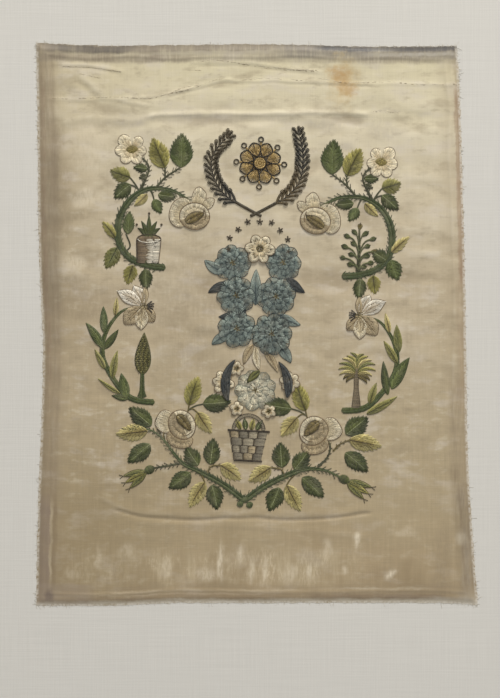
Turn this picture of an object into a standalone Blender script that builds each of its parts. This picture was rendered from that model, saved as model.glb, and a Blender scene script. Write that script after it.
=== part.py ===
"""An embroidered silk panel that lies flat with its worked face up.

The panel is one piece of satin. Its outline is a little uneven, and old creases, an opened-out
margin and the soft edge of the padding under the embroidery stand up in its top face. A rose
garland, two lily branches, a wreath, a rosette and a basket of flowers are worked on it, and each
stands a little proud of the cloth, as padded silk stitches do.

Units are metres. X runs across the panel, Y up its length and Z out of its face. The origin is the
middle of the underside, which is flat.
"""

import math
from collections import namedtuple

import bmesh
import bpy
from mathutils import Matrix, Vector
from mathutils.geometry import delaunay_2d_cdt, intersect_point_line

MM = 0.001

# The cloth
CLOTH_THICKNESS = 1.0 * MM
MARGIN = 9.0 * MM
GRID_PITCH = 15.0 * MM
GRID_CLEARANCE = 2.6 * MM
EDGE_STEP = 12.0 * MM

# The relief of the cloth
MARGIN_RIDGE = 0.30 * MM
MARGIN_RIDGE_HALF_WIDTH = 1.6 * MM
COCKLE_HEIGHT = 0.35 * MM
COCKLE_LENGTH_X = 47.0 * MM
COCKLE_LENGTH_Y = 31.0 * MM

# The embroidery's own frame: a mirror axis that leans a little on the cloth
FRAME_CENTRE = Vector((-4.5, -4.2)) * MM
FRAME_TURN = math.radians(-2.5)
STITCH_HEIGHT = 0.55 * MM
STITCH_RAMP = 1.3 * MM
THINNEST_STITCHING = 0.35

# The outline's corners, and how far each edge bows outwards at a share of its length
CORNERS = [Vector(p) * MM for p in ((-154.7, 196.9), (140.0, 194.8), (154.7, -196.4), (-154.7, -196.9))]
Bow = namedtuple("Bow", "share outward_mm")
EDGE_BOWS = {
    "top": (Bow(0.16, -1.4), Bow(0.34, -0.6), Bow(0.55, 0.3), Bow(0.78, -0.7)),
    "right": (Bow(0.10, 0.6), Bow(0.38, -0.3), Bow(0.58, -2.0), Bow(0.74, -3.1), Bow(0.90, -1.6)),
    "bottom": (Bow(0.10, -1.4), Bow(0.30, -1.7), Bow(0.50, -1.6), Bow(0.68, -1.7), Bow(0.84, 0.1)),
    "left": (Bow(0.17, -1.4), Bow(0.32, -3.7), Bow(0.46, -4.8), Bow(0.62, -2.2), Bow(0.85, -1.0)),
}

# The lines the cloth has kept: creases that stand up, and under the upper work one that dips
Crease = namedtuple("Crease", "height_mm half_width_mm points_mm")
CREASES = (
    Crease(0.26, 1.8, ((-136, 181), (-116, 180.5), (-95, 177.5))),
    Crease(0.28, 1.8, ((-45, 183), (-14, 183.5), (10, 180.5), (44, 176))),
    Crease(0.24, 1.8, ((-145, 158), (-118, 157), (-78, 158.5), (-47, 165), (-20, 171))),
    Crease(0.16, 1.8, ((-14, 171), (30, 170.5), (79, 169), (138, 168))),
    Crease(0.46, 3.2, ((-134, 141), (-112, 144), (-88, 143.5), (-60, 148), (0, 148.5), (58, 149.5),
                       (110, 143))),
    Crease(-0.34, 2.6, ((-72, 139.5), (-50, 141), (0, 141), (50, 142), (70, 139.5))),
    Crease(0.26, 3.0, ((-108, -122), (-92, -129.5), (-66, -132.5), (-8, -132), (52, -132.5), (74, -129))),
)

# Silks, in the order of the panel's material slots: the satin first
SILKS = {
    "satin": (0.50, 0.43, 0.30, 0.55),
    "dark_green": (0.060, 0.095, 0.050, 0.50),
    "gold_green": (0.26, 0.24, 0.085, 0.50),
    "cream": (0.55, 0.48, 0.36, 0.45),
    "umber": (0.12, 0.095, 0.045, 0.50),
    "slate_blue": (0.11, 0.16, 0.19, 0.45),
    "pale_blue": (0.34, 0.38, 0.36, 0.45),
    "black_metal": (0.045, 0.038, 0.026, 0.40),
    "old_gold": (0.20, 0.135, 0.045, 0.38),
}

# A raised shape: its rim lies on the cloth, and its crest's points are added to stand on
Pad = namedtuple("Pad", "rim crest silk")

# All that follows is in the embroidery's frame. What is worked on one side only names that side, and
# the right side's is given mirrored, as if it stood on the left.
BOTH, LEFT, RIGHT = (1, -1), (1,), (-1,)

# The right side is worked a little wider than the left at the foot, and narrower at the head
RIGHT_STRETCH = ((-68, 1.045), (-52, 1.0), (92, 1.0), (108, 0.975))

# Stems by the points they run through and their widths, evenly spaced along them
Stem = namedtuple("Stem", "sides points_mm widths_mm samples silk")
STEMS = (
    Stem(BOTH, ((-45.5, 88.8), (-59, 95.5), (-76, 95.6), (-89, 86.5), (-95.5, 72), (-94.5, 57), (-86, 46.8),
                (-73, 42), (-61.5, 40.8)), (1.2, 2.2, 3.0, 4.2, 4.8, 4.8, 4.6, 4.6, 4.6), 16, "dark_green"),
    Stem(BOTH, ((-79, 12.5), (-90, 9.8), (-98.5, 0), (-103, -12), (-102.5, -23), (-98.5, -32), (-92, -41.5),
                (-84, -49.5), (-76, -52.5), (-65, -53.3)), (1.2, 2.2, 3.4, 3.8, 4.4), 16, "dark_green"),
    Stem(LEFT, ((0.5, -119), (-15.3, -108.4), (-31, -100.6), (-43.2, -95.6), (-51.2, -87.5), (-58, -79.4),
                (-66, -73.6)), (4.4, 4.4, 4.2, 3.4, 2.4, 1.6, 1.2), 13, "dark_green"),
    Stem(RIGHT, ((-0.5, -119), (-12.6, -109.2), (-27.6, -100.6), (-41, -95.3), (-54, -95.4), (-65, -99.9)),
         (4.2, 4.4, 4.2, 3.2, 1.8, 1.2), 11, "dark_green"),
    Stem(BOTH, ((-81, 96.5), (-77, 104), (-75.5, 110), (-78, 115), (-84, 119)), (1.8, 1.2), 5, "dark_green"),
    Stem(BOTH, ((-70, 98.5), (-63, 105), (-53, 112)), (1.6, 1.2), 4, "dark_green"),
    Stem(LEFT, ((-46.5, -96), (-53.6, -97.4), (-65, -100)), (1.6, 1.2), 3, "dark_green"),
    Stem(RIGHT, ((-49, -93), (-55.4, -87), (-57.4, -79.2), (-54.2, -73)), (1.6, 1.2), 5, "dark_green"),
    Stem(RIGHT, ((-60.4, -81.2), (-63, -77.5), (-71, -73.6)), (1.2, 1.2), 3, "dark_green"),
)

# Leaves by their base point, the way they point and their size
Leaf = namedtuple("Leaf", "sides x_mm y_mm angle_deg length_mm width_mm silk")
LEAVES = (
    Leaf(BOTH, -53, 111.8, 90, 23.5, 15, "dark_green"),
    Leaf(BOTH, -64.3, 111.3, 114, 21, 13, "gold_green"),
    Leaf(BOTH, -88.5, 103, 165, 14.5, 9.5, "gold_green"),
    Leaf(BOTH, -88, 98, 221, 14, 9.5, "dark_green"),
    Leaf(BOTH, -76.5, 109.5, 178, 9.5, 5.5, "dark_green"),
    Leaf(BOTH, -68, 92, -6, 12.5, 7.5, "dark_green"),
    Leaf(BOTH, -71, 88.5, -60, 11, 7, "dark_green"),
    Leaf(BOTH, -76, 92, 222, 12.5, 6.5, "gold_green"),
    Leaf(LEFT, -90, 64, 82, 15.5, 9, "dark_green"),
    Leaf(LEFT, -97.5, 61, 133, 13.5, 6, "gold_green"),
    Leaf(LEFT, -96, 54, 243, 16, 9.5, "gold_green"),
    Leaf(RIGHT, -92.5, 53.5, 27, 12, 9, "dark_green"),
    Leaf(RIGHT, -96, 59, 136, 15.5, 6, "gold_green"),
    Leaf(RIGHT, -96, 54, 248, 15.5, 10.5, "dark_green"),
    Leaf(BOTH, -84, 42, 258, 13.5, 8.5, "gold_green"),
    Leaf(BOTH, -75, 39.5, 272, 14, 8.5, "dark_green"),
    Leaf(LEFT, -103, -17, 124, 20.5, 6, "dark_green"),
    Leaf(LEFT, -103, -6, 95, 18, 5.4, "gold_green"),
    Leaf(LEFT, -102, -17.5, 55, 16.5, 5, "dark_green"),
    Leaf(LEFT, -95.5, 6, 84, 13, 3.6, "gold_green"),
    Leaf(LEFT, -95.5, -38, 84, 20.5, 5.4, "gold_green"),
    Leaf(LEFT, -100.5, -31.5, 127, 15, 4.4, "gold_green"),
    Leaf(LEFT, -89.5, -48, 146, 18.5, 4.2, "gold_green"),
    Leaf(LEFT, -85, -51.5, 101, 18, 7.4, "dark_green"),
    Leaf(LEFT, -84, -51.5, 170, 11.5, 4.4, "dark_green"),
    Leaf(RIGHT, -104.5, -11, 84, 19, 5.8, "gold_green"),
    Leaf(RIGHT, -103.4, -19, 57, 17.5, 5.2, "gold_green"),
    Leaf(RIGHT, -97.5, 2, 76, 14.5, 4, "gold_green"),
    Leaf(RIGHT, -97.5, -41, 81, 23, 5.6, "dark_green"),
    Leaf(RIGHT, -100, -37, 117, 25, 8.6, "dark_green"),
    Leaf(RIGHT, -85, -48, 108, 15, 4, "gold_green"),
    Leaf(RIGHT, -89.5, -51, 146, 21, 5, "gold_green"),
    Leaf(BOTH, -67, -70, 141, 20, 11.5, "dark_green"),
    Leaf(BOTH, -69.5, -73.8, 189, 21, 11, "gold_green"),
    Leaf(BOTH, -67.5, -83, 224, 19, 11, "dark_green"),
    Leaf(BOTH, -38.5, -101.5, 221, 19, 11, "dark_green"),
    Leaf(BOTH, -28, -107.5, 241, 20.5, 10, "gold_green"),
    Leaf(BOTH, -23, -109.5, 286, 17, 11, "dark_green"),
    Leaf(BOTH, -33, -96, 126, 15.5, 10.5, "dark_green"),
    Leaf(BOTH, -24.5, -95, 83, 17.5, 11, "dark_green"),
    Leaf(BOTH, -17, -95.5, -33, 17, 10, "gold_green"),
    Leaf(BOTH, -40.5, -54.5, 71, 20.5, 10.5, "gold_green"),
    Leaf(BOTH, -30.5, -53.5, 10, 19, 12, "dark_green"),
    Leaf(BOTH, -34.5, -59.5, -52, 17.5, 9.5, "gold_green"),
)
BROAD_LEAF = 7.0 * MM

# The dog rose, by the angle and the reach of each petal
DOG_ROSE = Vector((-88, 123)) * MM
DOG_ROSE_PETALS = ((98, 11.6), (48, 9.0), (-14, 10.4), (-72, 10.6), (-118, 9.6), (176, 10.8))
DOG_ROSE_HUB = 2.6 * MM
DOG_ROSE_EYE = 3.6 * MM

# A rose seen from the side: its cup with a long eye, and the outer petals that open round the cup
Rose = namedtuple("Rose", "x_mm y_mm lean_deg eye_deg eye_aside_mm petals")
ArcPetal = namedtuple("ArcPetal", "from_deg to_deg depth_mm")
ROSES = (
    Rose(-42.3, 78.2, 10, 30, -1.0,
         (ArcPetal(108, 224, 7.6), ArcPetal(58, 101, 10.6), ArcPetal(31, 60, 8.0))),
    Rose(-45.3, -68.4, -58, -48, 1.8, (ArcPetal(209, 311, 6.8), ArcPetal(134, 212, 9.0))),
)
ROSE_CUP = (10.6 * MM, 9.4 * MM)
ROSE_EYE = (14.6 * MM, 6.6 * MM)

LILY = Vector((-75.8, 13.5)) * MM
LilyPetal = namedtuple("LilyPetal", "angle_deg length_mm width_mm")
LILY_PETALS = (
    LilyPetal(86, 14, 5),
    LilyPetal(116, 16.5, 10),
    LilyPetal(-50, 14, 9),
    LilyPetal(226, 19, 12),
    LilyPetal(268, 17, 10.5),
    LilyPetal(151, 21.5, 10),
)
LILY_BEND = math.radians(14)
BUD = Vector((-66.5, -100.8)) * MM
BUD_ANGLE = math.radians(211)
BUD_LENGTH = 16.5 * MM

# The wreath's branches, by side: pairs of loops, each given by its spread, length and width
WREATH_PATHS_MM = {
    1: ((3.6, 80.6), (-1.2, 82.8), (-12.7, 88.6), (-19.9, 92.5), (-26.5, 99.2), (-30.7, 107.5),
        (-32.1, 115.8), (-31, 124.3), (-25, 136)),
    -1: ((3.6, 80.4), (-1.2, 82.8), (-12.7, 89.0), (-19.9, 93.2), (-26.5, 100.3), (-30.7, 109.2),
         (-32.1, 118.1), (-32, 127.2), (-29.3, 139.7)),
}
WREATH_BARE_SHARE = 0.26
WREATH_PAIRS = 16
WREATH_LOOPS = ((36, 8.8, 1.9), (-24, 7.2, 1.4))

# The round rosette inside the wreath
ROSETTE = Vector((2, 117)) * MM
ROSETTE_PETALS = 8
ROSETTE_RADIUS = 15.0 * MM
ROSETTE_PETAL_WIDTH = 8.8 * MM
ROSETTE_RING = 2.2 * MM

# The posy of flowers in the middle
Bloom = namedtuple("Bloom", "x_mm y_mm radius_mm petals silk")
BLOOMS = (
    Bloom(-15, 46.5, 13.0, 8, "slate_blue"),
    Bloom(21, 48, 13.0, 8, "slate_blue"),
    Bloom(-11, 24, 13.5, 8, "slate_blue"),
    Bloom(16.5, 24.5, 14.0, 8, "slate_blue"),
    Bloom(-10, 0.5, 13.5, 8, "slate_blue"),
    Bloom(15, -2, 15.0, 9, "slate_blue"),
    Bloom(3.5, 57, 11.0, 6, "cream"),
    Bloom(5.6, -41.5, 14.5, 9, "pale_blue"),
    Bloom(-17, -37.5, 8.5, 6, "cream"),
    Bloom(-8, -27, 5.6, 5, "cream"),
    Bloom(29, -35, 7.6, 6, "cream"),
    Bloom(-6.5, -55, 5.4, 5, "cream"),
    Bloom(15.5, -56, 5.4, 5, "cream"),
)
BouquetLeaf = namedtuple("BouquetLeaf", "x_mm y_mm angle_deg bend_deg length_mm width_mm silk")
LEAVES_UNDER_BLOOMS = (
    BouquetLeaf(-20, 40, 152, -30, 17, 7.5, "slate_blue"),
    BouquetLeaf(-16, 32, 205, 20, 16, 6.5, "black_metal"),
    BouquetLeaf(24, 38, -38, 30, 16, 6.5, "black_metal"),
    BouquetLeaf(-4, 14, 196, -30, 20, 7, "black_metal"),
    BouquetLeaf(20, 12, -24, 30, 17, 6.5, "slate_blue"),
    BouquetLeaf(-16, -4, 214, 30, 13, 7, "slate_blue"),
    BouquetLeaf(20, -10, -52, -30, 15, 7.5, "slate_blue"),
    BouquetLeaf(2, -10, 250, 30, 15, 5.4, "cream"),
    BouquetLeaf(4, -12, 284, 20, 16, 5.4, "cream"),
    BouquetLeaf(10, -13, 304, -20, 19, 5.0, "cream"),
)
LEAVES_OVER_BLOOMS = (
    BouquetLeaf(-13, -50, 83, -62, 31, 6.4, "black_metal"),
    BouquetLeaf(27.5, -46, 105.5, 55, 27, 6.0, "black_metal"),
    BouquetLeaf(8, -28, 226, 20, 12, 5.0, "gold_green"),
)
FLORET_CENTRE = Vector((3, 55)) * MM
FLORET_REACH = 22.0 * MM
FLORETS = 9
FLORET_RADIUS = 1.9 * MM

# The basket below it, with its handle and what stands in it
BASKET_CENTRE = Vector((2, -81)) * MM
BASKET_TOP_WIDTH = 27.0 * MM
BASKET_FOOT_WIDTH = 19.0 * MM
BASKET_HEIGHT = 21.0 * MM
BASKET_ROWS = 4
BASKET_HANDLE = (10.5 * MM, 11.5 * MM)

# What grows inside the scrolls, two on the left and two on the right
POT_FOOT = Vector((-74, 43.5)) * MM
POT_HEIGHT = 17.0 * MM
POT_WIDTHS = (13.0 * MM, 17.5 * MM)
POT_PLANT = ((138, 11), (114, 13.5), (90, 16.5), (65, 13.5), (42, 11))
SPIKE_BASE = Vector((-74, -51)) * MM
SPIKE_HEIGHT = 44.5 * MM
SPIKE_HEAD_WIDTH = 12.0 * MM
SPRIG_BASE = Vector((73, 43.5)) * MM
SPRIG_HEIGHT = 31.0 * MM
Twig = namedtuple("Twig", "foot_mm tip_x_mm tip_y_mm")
SPRIG_TWIGS = (
    Twig(3, -11.5, 10), Twig(2, -5.5, 5.5), Twig(2.5, 8.2, 7.5), Twig(5, 5.2, 12), Twig(8, -9.4, 17.5),
    Twig(9, 10.2, 15.5), Twig(8, -5.4, 12.5), Twig(12, -3.8, 20), Twig(12, 5.8, 19), Twig(15, -8.2, 25),
    Twig(15, 9.2, 24), Twig(19, -3.2, 28), Twig(19, 3.6, 27),
)
TUFT_BASE = Vector((75.5, -51)) * MM
TUFT_TRUNK = 24.0 * MM
Frond = namedtuple("Frond", "from_upright_deg bend_deg length_mm foot_mm")
TUFT_FRONDS = (
    Frond(8, 96, 11.5, 4.6), Frond(37, 86, 14.5, 2.8), Frond(66, 76, 14.5, 1.0), Frond(95, 66, 13, -0.8),
    Frond(124, 56, 10, -2.6),
)

# The round knobs where the garland's halves meet: x, y and radius
GARLAND_KNOT_MM = ((-2.6, -121.6, 2.7), (4.6, -122.0, 2.7), (1.0, -118.4, 3.0))


def catmull(points, samples):
    """A smooth curve through the points, as samples evenly spaced in its parameter."""
    ends = [2 * points[0] - points[1], *points, 2 * points[-1] - points[-2]]
    spans = len(points) - 1
    curve = []
    for i in range(samples):
        place = i / (samples - 1) * spans
        span = min(int(place), spans - 1)
        t = place - span
        a, b, c, d = ends[span : span + 4]
        bent = (2 * a - 5 * b + 4 * c - d) * t**2 + (3 * b - a - 3 * c + d) * t**3
        curve.append(0.5 * (2 * b + (c - a) * t + bent))
    return curve


def in_metres(points_mm):
    return [Vector(p) * MM for p in points_mm]


def heading(angle):
    return Vector((math.cos(angle), math.sin(angle)))


def left_of(direction):
    return Vector((-direction.y, direction.x)).normalized()


def inside(point, rim):
    """True if the point lies in the polygon, by counting the rim's crossings to its right."""
    odd = False
    for a, b in zip(rim, rim[1:] + rim[:1]):
        if (a.y > point.y) != (b.y > point.y):
            odd ^= point.x < a.x + (b.x - a.x) * (point.y - a.y) / (b.y - a.y)
    return odd


def distance_to_path(point, path):
    """The distance from the point to the nearest place on an open path."""
    nearest = math.inf
    for a, b in zip(path, path[1:]):
        foot, share = intersect_point_line(point, a, b)
        foot = Vector(foot[:2])
        if share < 0:
            foot = a
        elif share > 1:
            foot = b
        nearest = min(nearest, (point - foot).length)
    return nearest


def edge_curve(start, end, bows):
    """One edge of the cloth, bowed away from the straight line between its corners."""
    outward = -left_of(start - end)
    knots = [start] + [start.lerp(end, b.share) + outward * b.outward_mm * MM for b in bows] + [end]
    return catmull(knots, max(3, round((end - start).length / EDGE_STEP)))


def cloth_outline():
    """The panel's rim, clockwise from its top left corner, with its box centred on the origin."""
    rim = []
    for index, name in enumerate(("top", "right", "bottom", "left")):
        curve = edge_curve(CORNERS[index], CORNERS[(index + 1) % 4], EDGE_BOWS[name])
        rim += curve[:-1]
    xs, ys = [p.x for p in rim], [p.y for p in rim]
    middle = Vector((min(xs) + max(xs), min(ys) + max(ys))) / 2
    return [p - middle for p in rim]


def along_bend(base, angle, bend, length, share):
    """A point on a rib that turns by the bend between its base and its tip, and the way it runs there."""
    first, here = angle - bend / 2, angle + bend * (share - 0.5)
    if abs(bend) < 0.01:
        return base + heading(angle) * length * share, heading(angle)
    swing = Vector((math.sin(here) - math.sin(first), math.cos(first) - math.cos(here)))
    return base + swing * length / bend, heading(here)


def leaf_pad(base, angle, length, width, silk, belly=0.42, bend=0.0):
    """A leaf from its base to its tip, widest at the belly's share of its length."""
    steps = 4 if width > BROAD_LEAF or abs(bend) > 0.5 else 3
    shares = [(i + 1) / (steps + 1) for i in range(steps)]
    power = math.log(0.5) / math.log(belly)
    upper, lower = [], []
    for share in shares:
        spine, way = along_bend(base, angle, bend, length, share)
        half = width / 2 * math.sin(math.pi * share**power) ** 0.85
        upper.append(spine + left_of(way) * half)
        lower.append(spine - left_of(way) * half)
    crest = [along_bend(base, angle, bend, length, share)[0] for share in (0.3, 0.65)]
    tip = along_bend(base, angle, bend, length, 1)[0]
    return Pad([base, *lower, tip, *reversed(upper)], crest, silk)


def ribbon_pad(path, widths, silk):
    """A worked stem along a path, with its widths evenly spaced along it."""
    left, right = [], []
    for i, point in enumerate(path):
        along = path[min(i + 1, len(path) - 1)] - path[max(i - 1, 0)]
        place = i / (len(path) - 1) * (len(widths) - 1)
        before = min(int(place), len(widths) - 2)
        half = (widths[before] + (widths[before + 1] - widths[before]) * (place - before)) / 2
        left.append(point + left_of(along) * half)
        right.append(point - left_of(along) * half)
    return Pad(left + right[::-1], path[1:-1], silk)


def table_leaf(row):
    base, angle = Vector((row.x_mm, row.y_mm)) * MM, math.radians(row.angle_deg)
    return leaf_pad(base, angle, row.length_mm * MM, row.width_mm * MM, row.silk)


def stem_pad(stem):
    path = catmull(in_metres(stem.points_mm), stem.samples)
    return ribbon_pad(path, [width * MM for width in stem.widths_mm], stem.silk)


def oval_pad(centre, radius_x, radius_y, turn, silk, points=8):
    """A round or oval patch with one point at its middle."""
    across, up = heading(turn), left_of(heading(turn))
    angles = [2 * math.pi * i / points for i in range(points)]
    rim = [centre + across * radius_x * math.cos(a) + up * radius_y * math.sin(a) for a in angles]
    return Pad(rim, [centre], silk)


def ring_of_petals(centre, count, hub, length, width, silk, first=0.0):
    """Leaf-shaped petals around a hub."""
    turns = [first + 2 * math.pi * i / count for i in range(count)]
    return [leaf_pad(centre + heading(t) * hub, t, length, width, silk, belly=0.6) for t in turns]


def dog_rose():
    """Round petals about an eye, each with a reach of its own."""
    petals = []
    for angle_deg, reach_mm in DOG_ROSE_PETALS:
        turn, length = math.radians(angle_deg), reach_mm * MM - DOG_ROSE_HUB
        width = 2.1 * (DOG_ROSE_HUB + 0.6 * length) * math.tan(math.radians(26))
        petals.append(leaf_pad(DOG_ROSE + heading(turn) * DOG_ROSE_HUB, turn, length, width, "cream", 0.6))
    return petals + [oval_pad(DOG_ROSE, DOG_ROSE_EYE, DOG_ROSE_EYE, 0, "umber", 6)]


def arc_pad(centre, lean, petal):
    """An outer petal of a rose, which opens from the cup's rim."""
    shares = [i / 6 for i in range(7)]
    inner, outer = [], []
    for share in shares:
        turn = math.radians(petal.from_deg + share * (petal.to_deg - petal.from_deg))
        flat, tall = ROSE_CUP[1] * math.cos(turn - lean), ROSE_CUP[0] * math.sin(turn - lean)
        rim = ROSE_CUP[0] * ROSE_CUP[1] / math.hypot(flat, tall)
        depth = petal.depth_mm * MM * math.sin(math.pi * min(max(share, 0.02), 0.98)) ** 0.42
        inner.append(centre + heading(turn) * rim * 0.97)
        outer.append(centre + heading(turn) * (rim + depth))
    crest = [a.lerp(b, 0.5) for a, b in zip(inner[1:-1:2], outer[1:-1:2])]
    return Pad(inner[::3] + outer[::-1], crest, "cream")


def side_rose(rose):
    """A rose's outer petals, and its cup with the eye worked over it."""
    centre, lean = Vector((rose.x_mm, rose.y_mm)) * MM, math.radians(rose.lean_deg)
    pads = [arc_pad(centre, lean, petal) for petal in rose.petals]
    pads.append(oval_pad(centre, *ROSE_CUP, lean, "cream", 14))
    eye = math.radians(rose.eye_deg)
    foot = centre + left_of(heading(eye)) * rose.eye_aside_mm * MM - heading(eye) * ROSE_EYE[0] / 2
    pads.append(leaf_pad(foot, eye, *ROSE_EYE, "umber", belly=0.5))
    return pads


def lily():
    """A lily seen from the side, with its mouth towards the middle of the panel."""
    pads = []
    for petal in LILY_PETALS:
        size = petal.length_mm * MM, petal.width_mm * MM
        pads.append(leaf_pad(LILY, math.radians(petal.angle_deg), *size, "cream", 0.56, LILY_BEND))
    return pads


def bud():
    """A rose bud hanging from its hip."""
    hip = oval_pad(BUD + heading(BUD_ANGLE) * 0.5 * MM, 3.6 * MM, 3.2 * MM, BUD_ANGLE, "dark_green", 7)
    foot = BUD + heading(BUD_ANGLE) * 3.8 * MM
    fans = [BUD_ANGLE + math.radians(spread) for spread in (-17, 17, 0)]
    return [leaf_pad(foot, fan, BUD_LENGTH, 4.6 * MM, "gold_green") for fan in fans] + [hip]


def wreath_half(side):
    """Pairs of loops with a knob at each tip, along a bent twig."""
    path = catmull(in_metres(WREATH_PATHS_MM[side]), 61)
    bare = round(WREATH_BARE_SHARE * 60)
    pads = [ribbon_pad(path[: bare + 1 : 5], [2.1 * MM, 2.1 * MM], "black_metal")]
    for i in range(WREATH_PAIRS):
        share = i / (WREATH_PAIRS - 1)
        place = bare + round((60 - bare - 2) * share)
        along = path[place + 1] - path[place]
        facing = math.atan2(along.y, along.x)
        for spread_deg, length_mm, width_mm in WREATH_LOOPS:
            turn = facing - math.radians(spread_deg)
            base = path[place] + heading(turn) * 1.2 * MM
            length = length_mm * (1 - 0.45 * share**4) * MM - 1.2 * MM
            half = left_of(heading(turn)) * width_mm / 2 * MM
            knob, tip = base + heading(turn) * length * 0.8, base + heading(turn) * length
            pads.append(Pad([base, knob - half, tip, knob + half], [base.lerp(tip, 0.6)], "black_metal"))
    return pads


def upright(base, height, widths, silk, samples=3):
    """A straight stalk or trunk."""
    path = [base + Vector((0, height * i / (samples - 1))) for i in range(samples)]
    return ribbon_pad(path, widths, silk)


def sprig():
    """A sprig with club-shaped buds on rising twigs, in the upper scroll on the right."""
    stalk_widths = [width * MM for width in (4.0, 2.4, 1.8, 1.2)]
    pads = [upright(SPRIG_BASE, SPRIG_HEIGHT, stalk_widths, "dark_green", 5)]
    for twig in SPRIG_TWIGS:
        foot = SPRIG_BASE + Vector((0, twig.foot_mm)) * MM
        tip = SPRIG_BASE + Vector((twig.tip_x_mm, twig.tip_y_mm)) * MM
        reach = tip - foot
        turn = math.atan2(reach.y, reach.x)
        pads.append(leaf_pad(foot, turn, reach.length + 2.4 * MM, 3.4 * MM, "dark_green", 0.82))
    return pads


def potted_plant():
    """A small pale pot with a plant in it, standing in the upper scroll on the left."""
    foot_half, top_half = (width / 2 for width in POT_WIDTHS)
    corners = ((-foot_half, 0), (foot_half, 0), (top_half, POT_HEIGHT), (-top_half, POT_HEIGHT))
    rim = [POT_FOOT + Vector(corner) for corner in corners]
    pot = Pad(rim, [POT_FOOT + Vector((0, POT_HEIGHT / 2))], "pale_blue")
    mouth = POT_FOOT + Vector((0, POT_HEIGHT))
    pads = [pot, oval_pad(mouth, top_half, 2.1 * MM, 0, "umber", 10)]
    for angle_deg, reach_mm in POT_PLANT:
        bend = math.radians((angle_deg - 90) * 0.7)
        foot = mouth + Vector((0, 0.6 * MM))
        pads.append(leaf_pad(foot, math.radians(angle_deg), reach_mm * MM, 3.6 * MM, "dark_green", bend=bend))
    return pads


def spike():
    """A tall flower spike, standing in the lower scroll on the left."""
    stalk_height = 0.4 * SPIKE_HEIGHT
    stalk = upright(SPIKE_BASE, stalk_height, [width * MM for width in (7.0, 3.8, 3.2, 2.8)], "dark_green", 5)
    neck = SPIKE_BASE + Vector((0, stalk_height - 1.0 * MM))
    head_length = SPIKE_HEIGHT - stalk_height + 1.0 * MM
    return [stalk, leaf_pad(neck, math.radians(90), head_length, SPIKE_HEAD_WIDTH, "gold_green", 0.36)]


def tuft():
    """Fronds that arch and droop from a slim trunk, in the lower scroll on the right."""
    pads = [upright(TUFT_BASE, TUFT_TRUNK, [6.0 * MM, 3.6 * MM, 3.0 * MM], "umber", 4)]
    for frond in TUFT_FRONDS:
        for sign in (-1, 1):
            foot = TUFT_BASE + Vector((sign * 0.6 * MM, TUFT_TRUNK + frond.foot_mm * MM))
            angle = math.radians(90 - sign * frond.from_upright_deg)
            bend = -sign * math.radians(frond.bend_deg)
            pads.append(leaf_pad(foot, angle, frond.length_mm * MM, 2.9 * MM, "gold_green", 0.5, bend))
    return pads


def basket():
    """A woven basket: rows of blocks that narrow to the foot, a handle and the leaves under it."""
    pads = []
    row_height = BASKET_HEIGHT / BASKET_ROWS
    for row in range(BASKET_ROWS):
        share = (row + 0.5) / BASKET_ROWS
        width = BASKET_FOOT_WIDTH + (BASKET_TOP_WIDTH - BASKET_FOOT_WIDTH) * share
        count = 4 if row % 2 else 3
        y = BASKET_CENTRE.y + BASKET_HEIGHT * (share - 0.5)
        for i in range(count):
            x = BASKET_CENTRE.x + width * ((i + 0.5) / count - 0.5)
            half_x, half_y = width / count / 2 - 0.35 * MM, row_height / 2 - 0.35 * MM
            corners = ((-half_x, -half_y), (half_x, -half_y), (half_x, half_y), (-half_x, half_y))
            block = Vector((x, y))
            pads.append(Pad([block + Vector(corner) for corner in corners], [block], "pale_blue"))
    top = BASKET_CENTRE + Vector((0, BASKET_HEIGHT / 2))
    turns = [math.radians(8 + 164 * i / 10) for i in range(11)]
    arch = [top + Vector((math.cos(a) * BASKET_HANDLE[0], math.sin(a) * BASKET_HANDLE[1])) for a in turns]
    pads.append(ribbon_pad(arch, [2.2 * MM, 2.2 * MM], "pale_blue"))
    for offset_mm in (-5.5, -1.8, 2.0, 5.6):
        foot = top + Vector((offset_mm, 1)) * MM
        pads.append(leaf_pad(foot, math.radians(90 - offset_mm * 5), 8.5 * MM, 3.6 * MM, "gold_green"))
    return pads


def bouquet_leaf(row):
    base = Vector((row.x_mm, row.y_mm)) * MM
    size = row.length_mm * MM, row.width_mm * MM
    return leaf_pad(base, math.radians(row.angle_deg), *size, row.silk, bend=math.radians(row.bend_deg))


def bouquet():
    """The blooms above the basket, the leaves among them and the florets over their top."""
    pads = [bouquet_leaf(row) for row in LEAVES_UNDER_BLOOMS]
    for bloom in BLOOMS:
        centre, radius = Vector((bloom.x_mm, bloom.y_mm)) * MM, bloom.radius_mm * MM
        width = 2 * math.pi * radius * 0.62 / bloom.petals
        pads += ring_of_petals(centre, bloom.petals, radius * 0.24, radius * 0.76, width, bloom.silk, 0.3)
        pads.append(oval_pad(centre, radius * 0.18, radius * 0.18, 0, "umber", 5))
    pads += [bouquet_leaf(row) for row in LEAVES_OVER_BLOOMS]
    for i in range(FLORETS):
        place = FLORET_CENTRE + heading(math.radians(2 + 176 * i / (FLORETS - 1))) * FLORET_REACH
        pads.append(oval_pad(place, FLORET_RADIUS, FLORET_RADIUS, 0, "umber", 5))
    return pads


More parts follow.
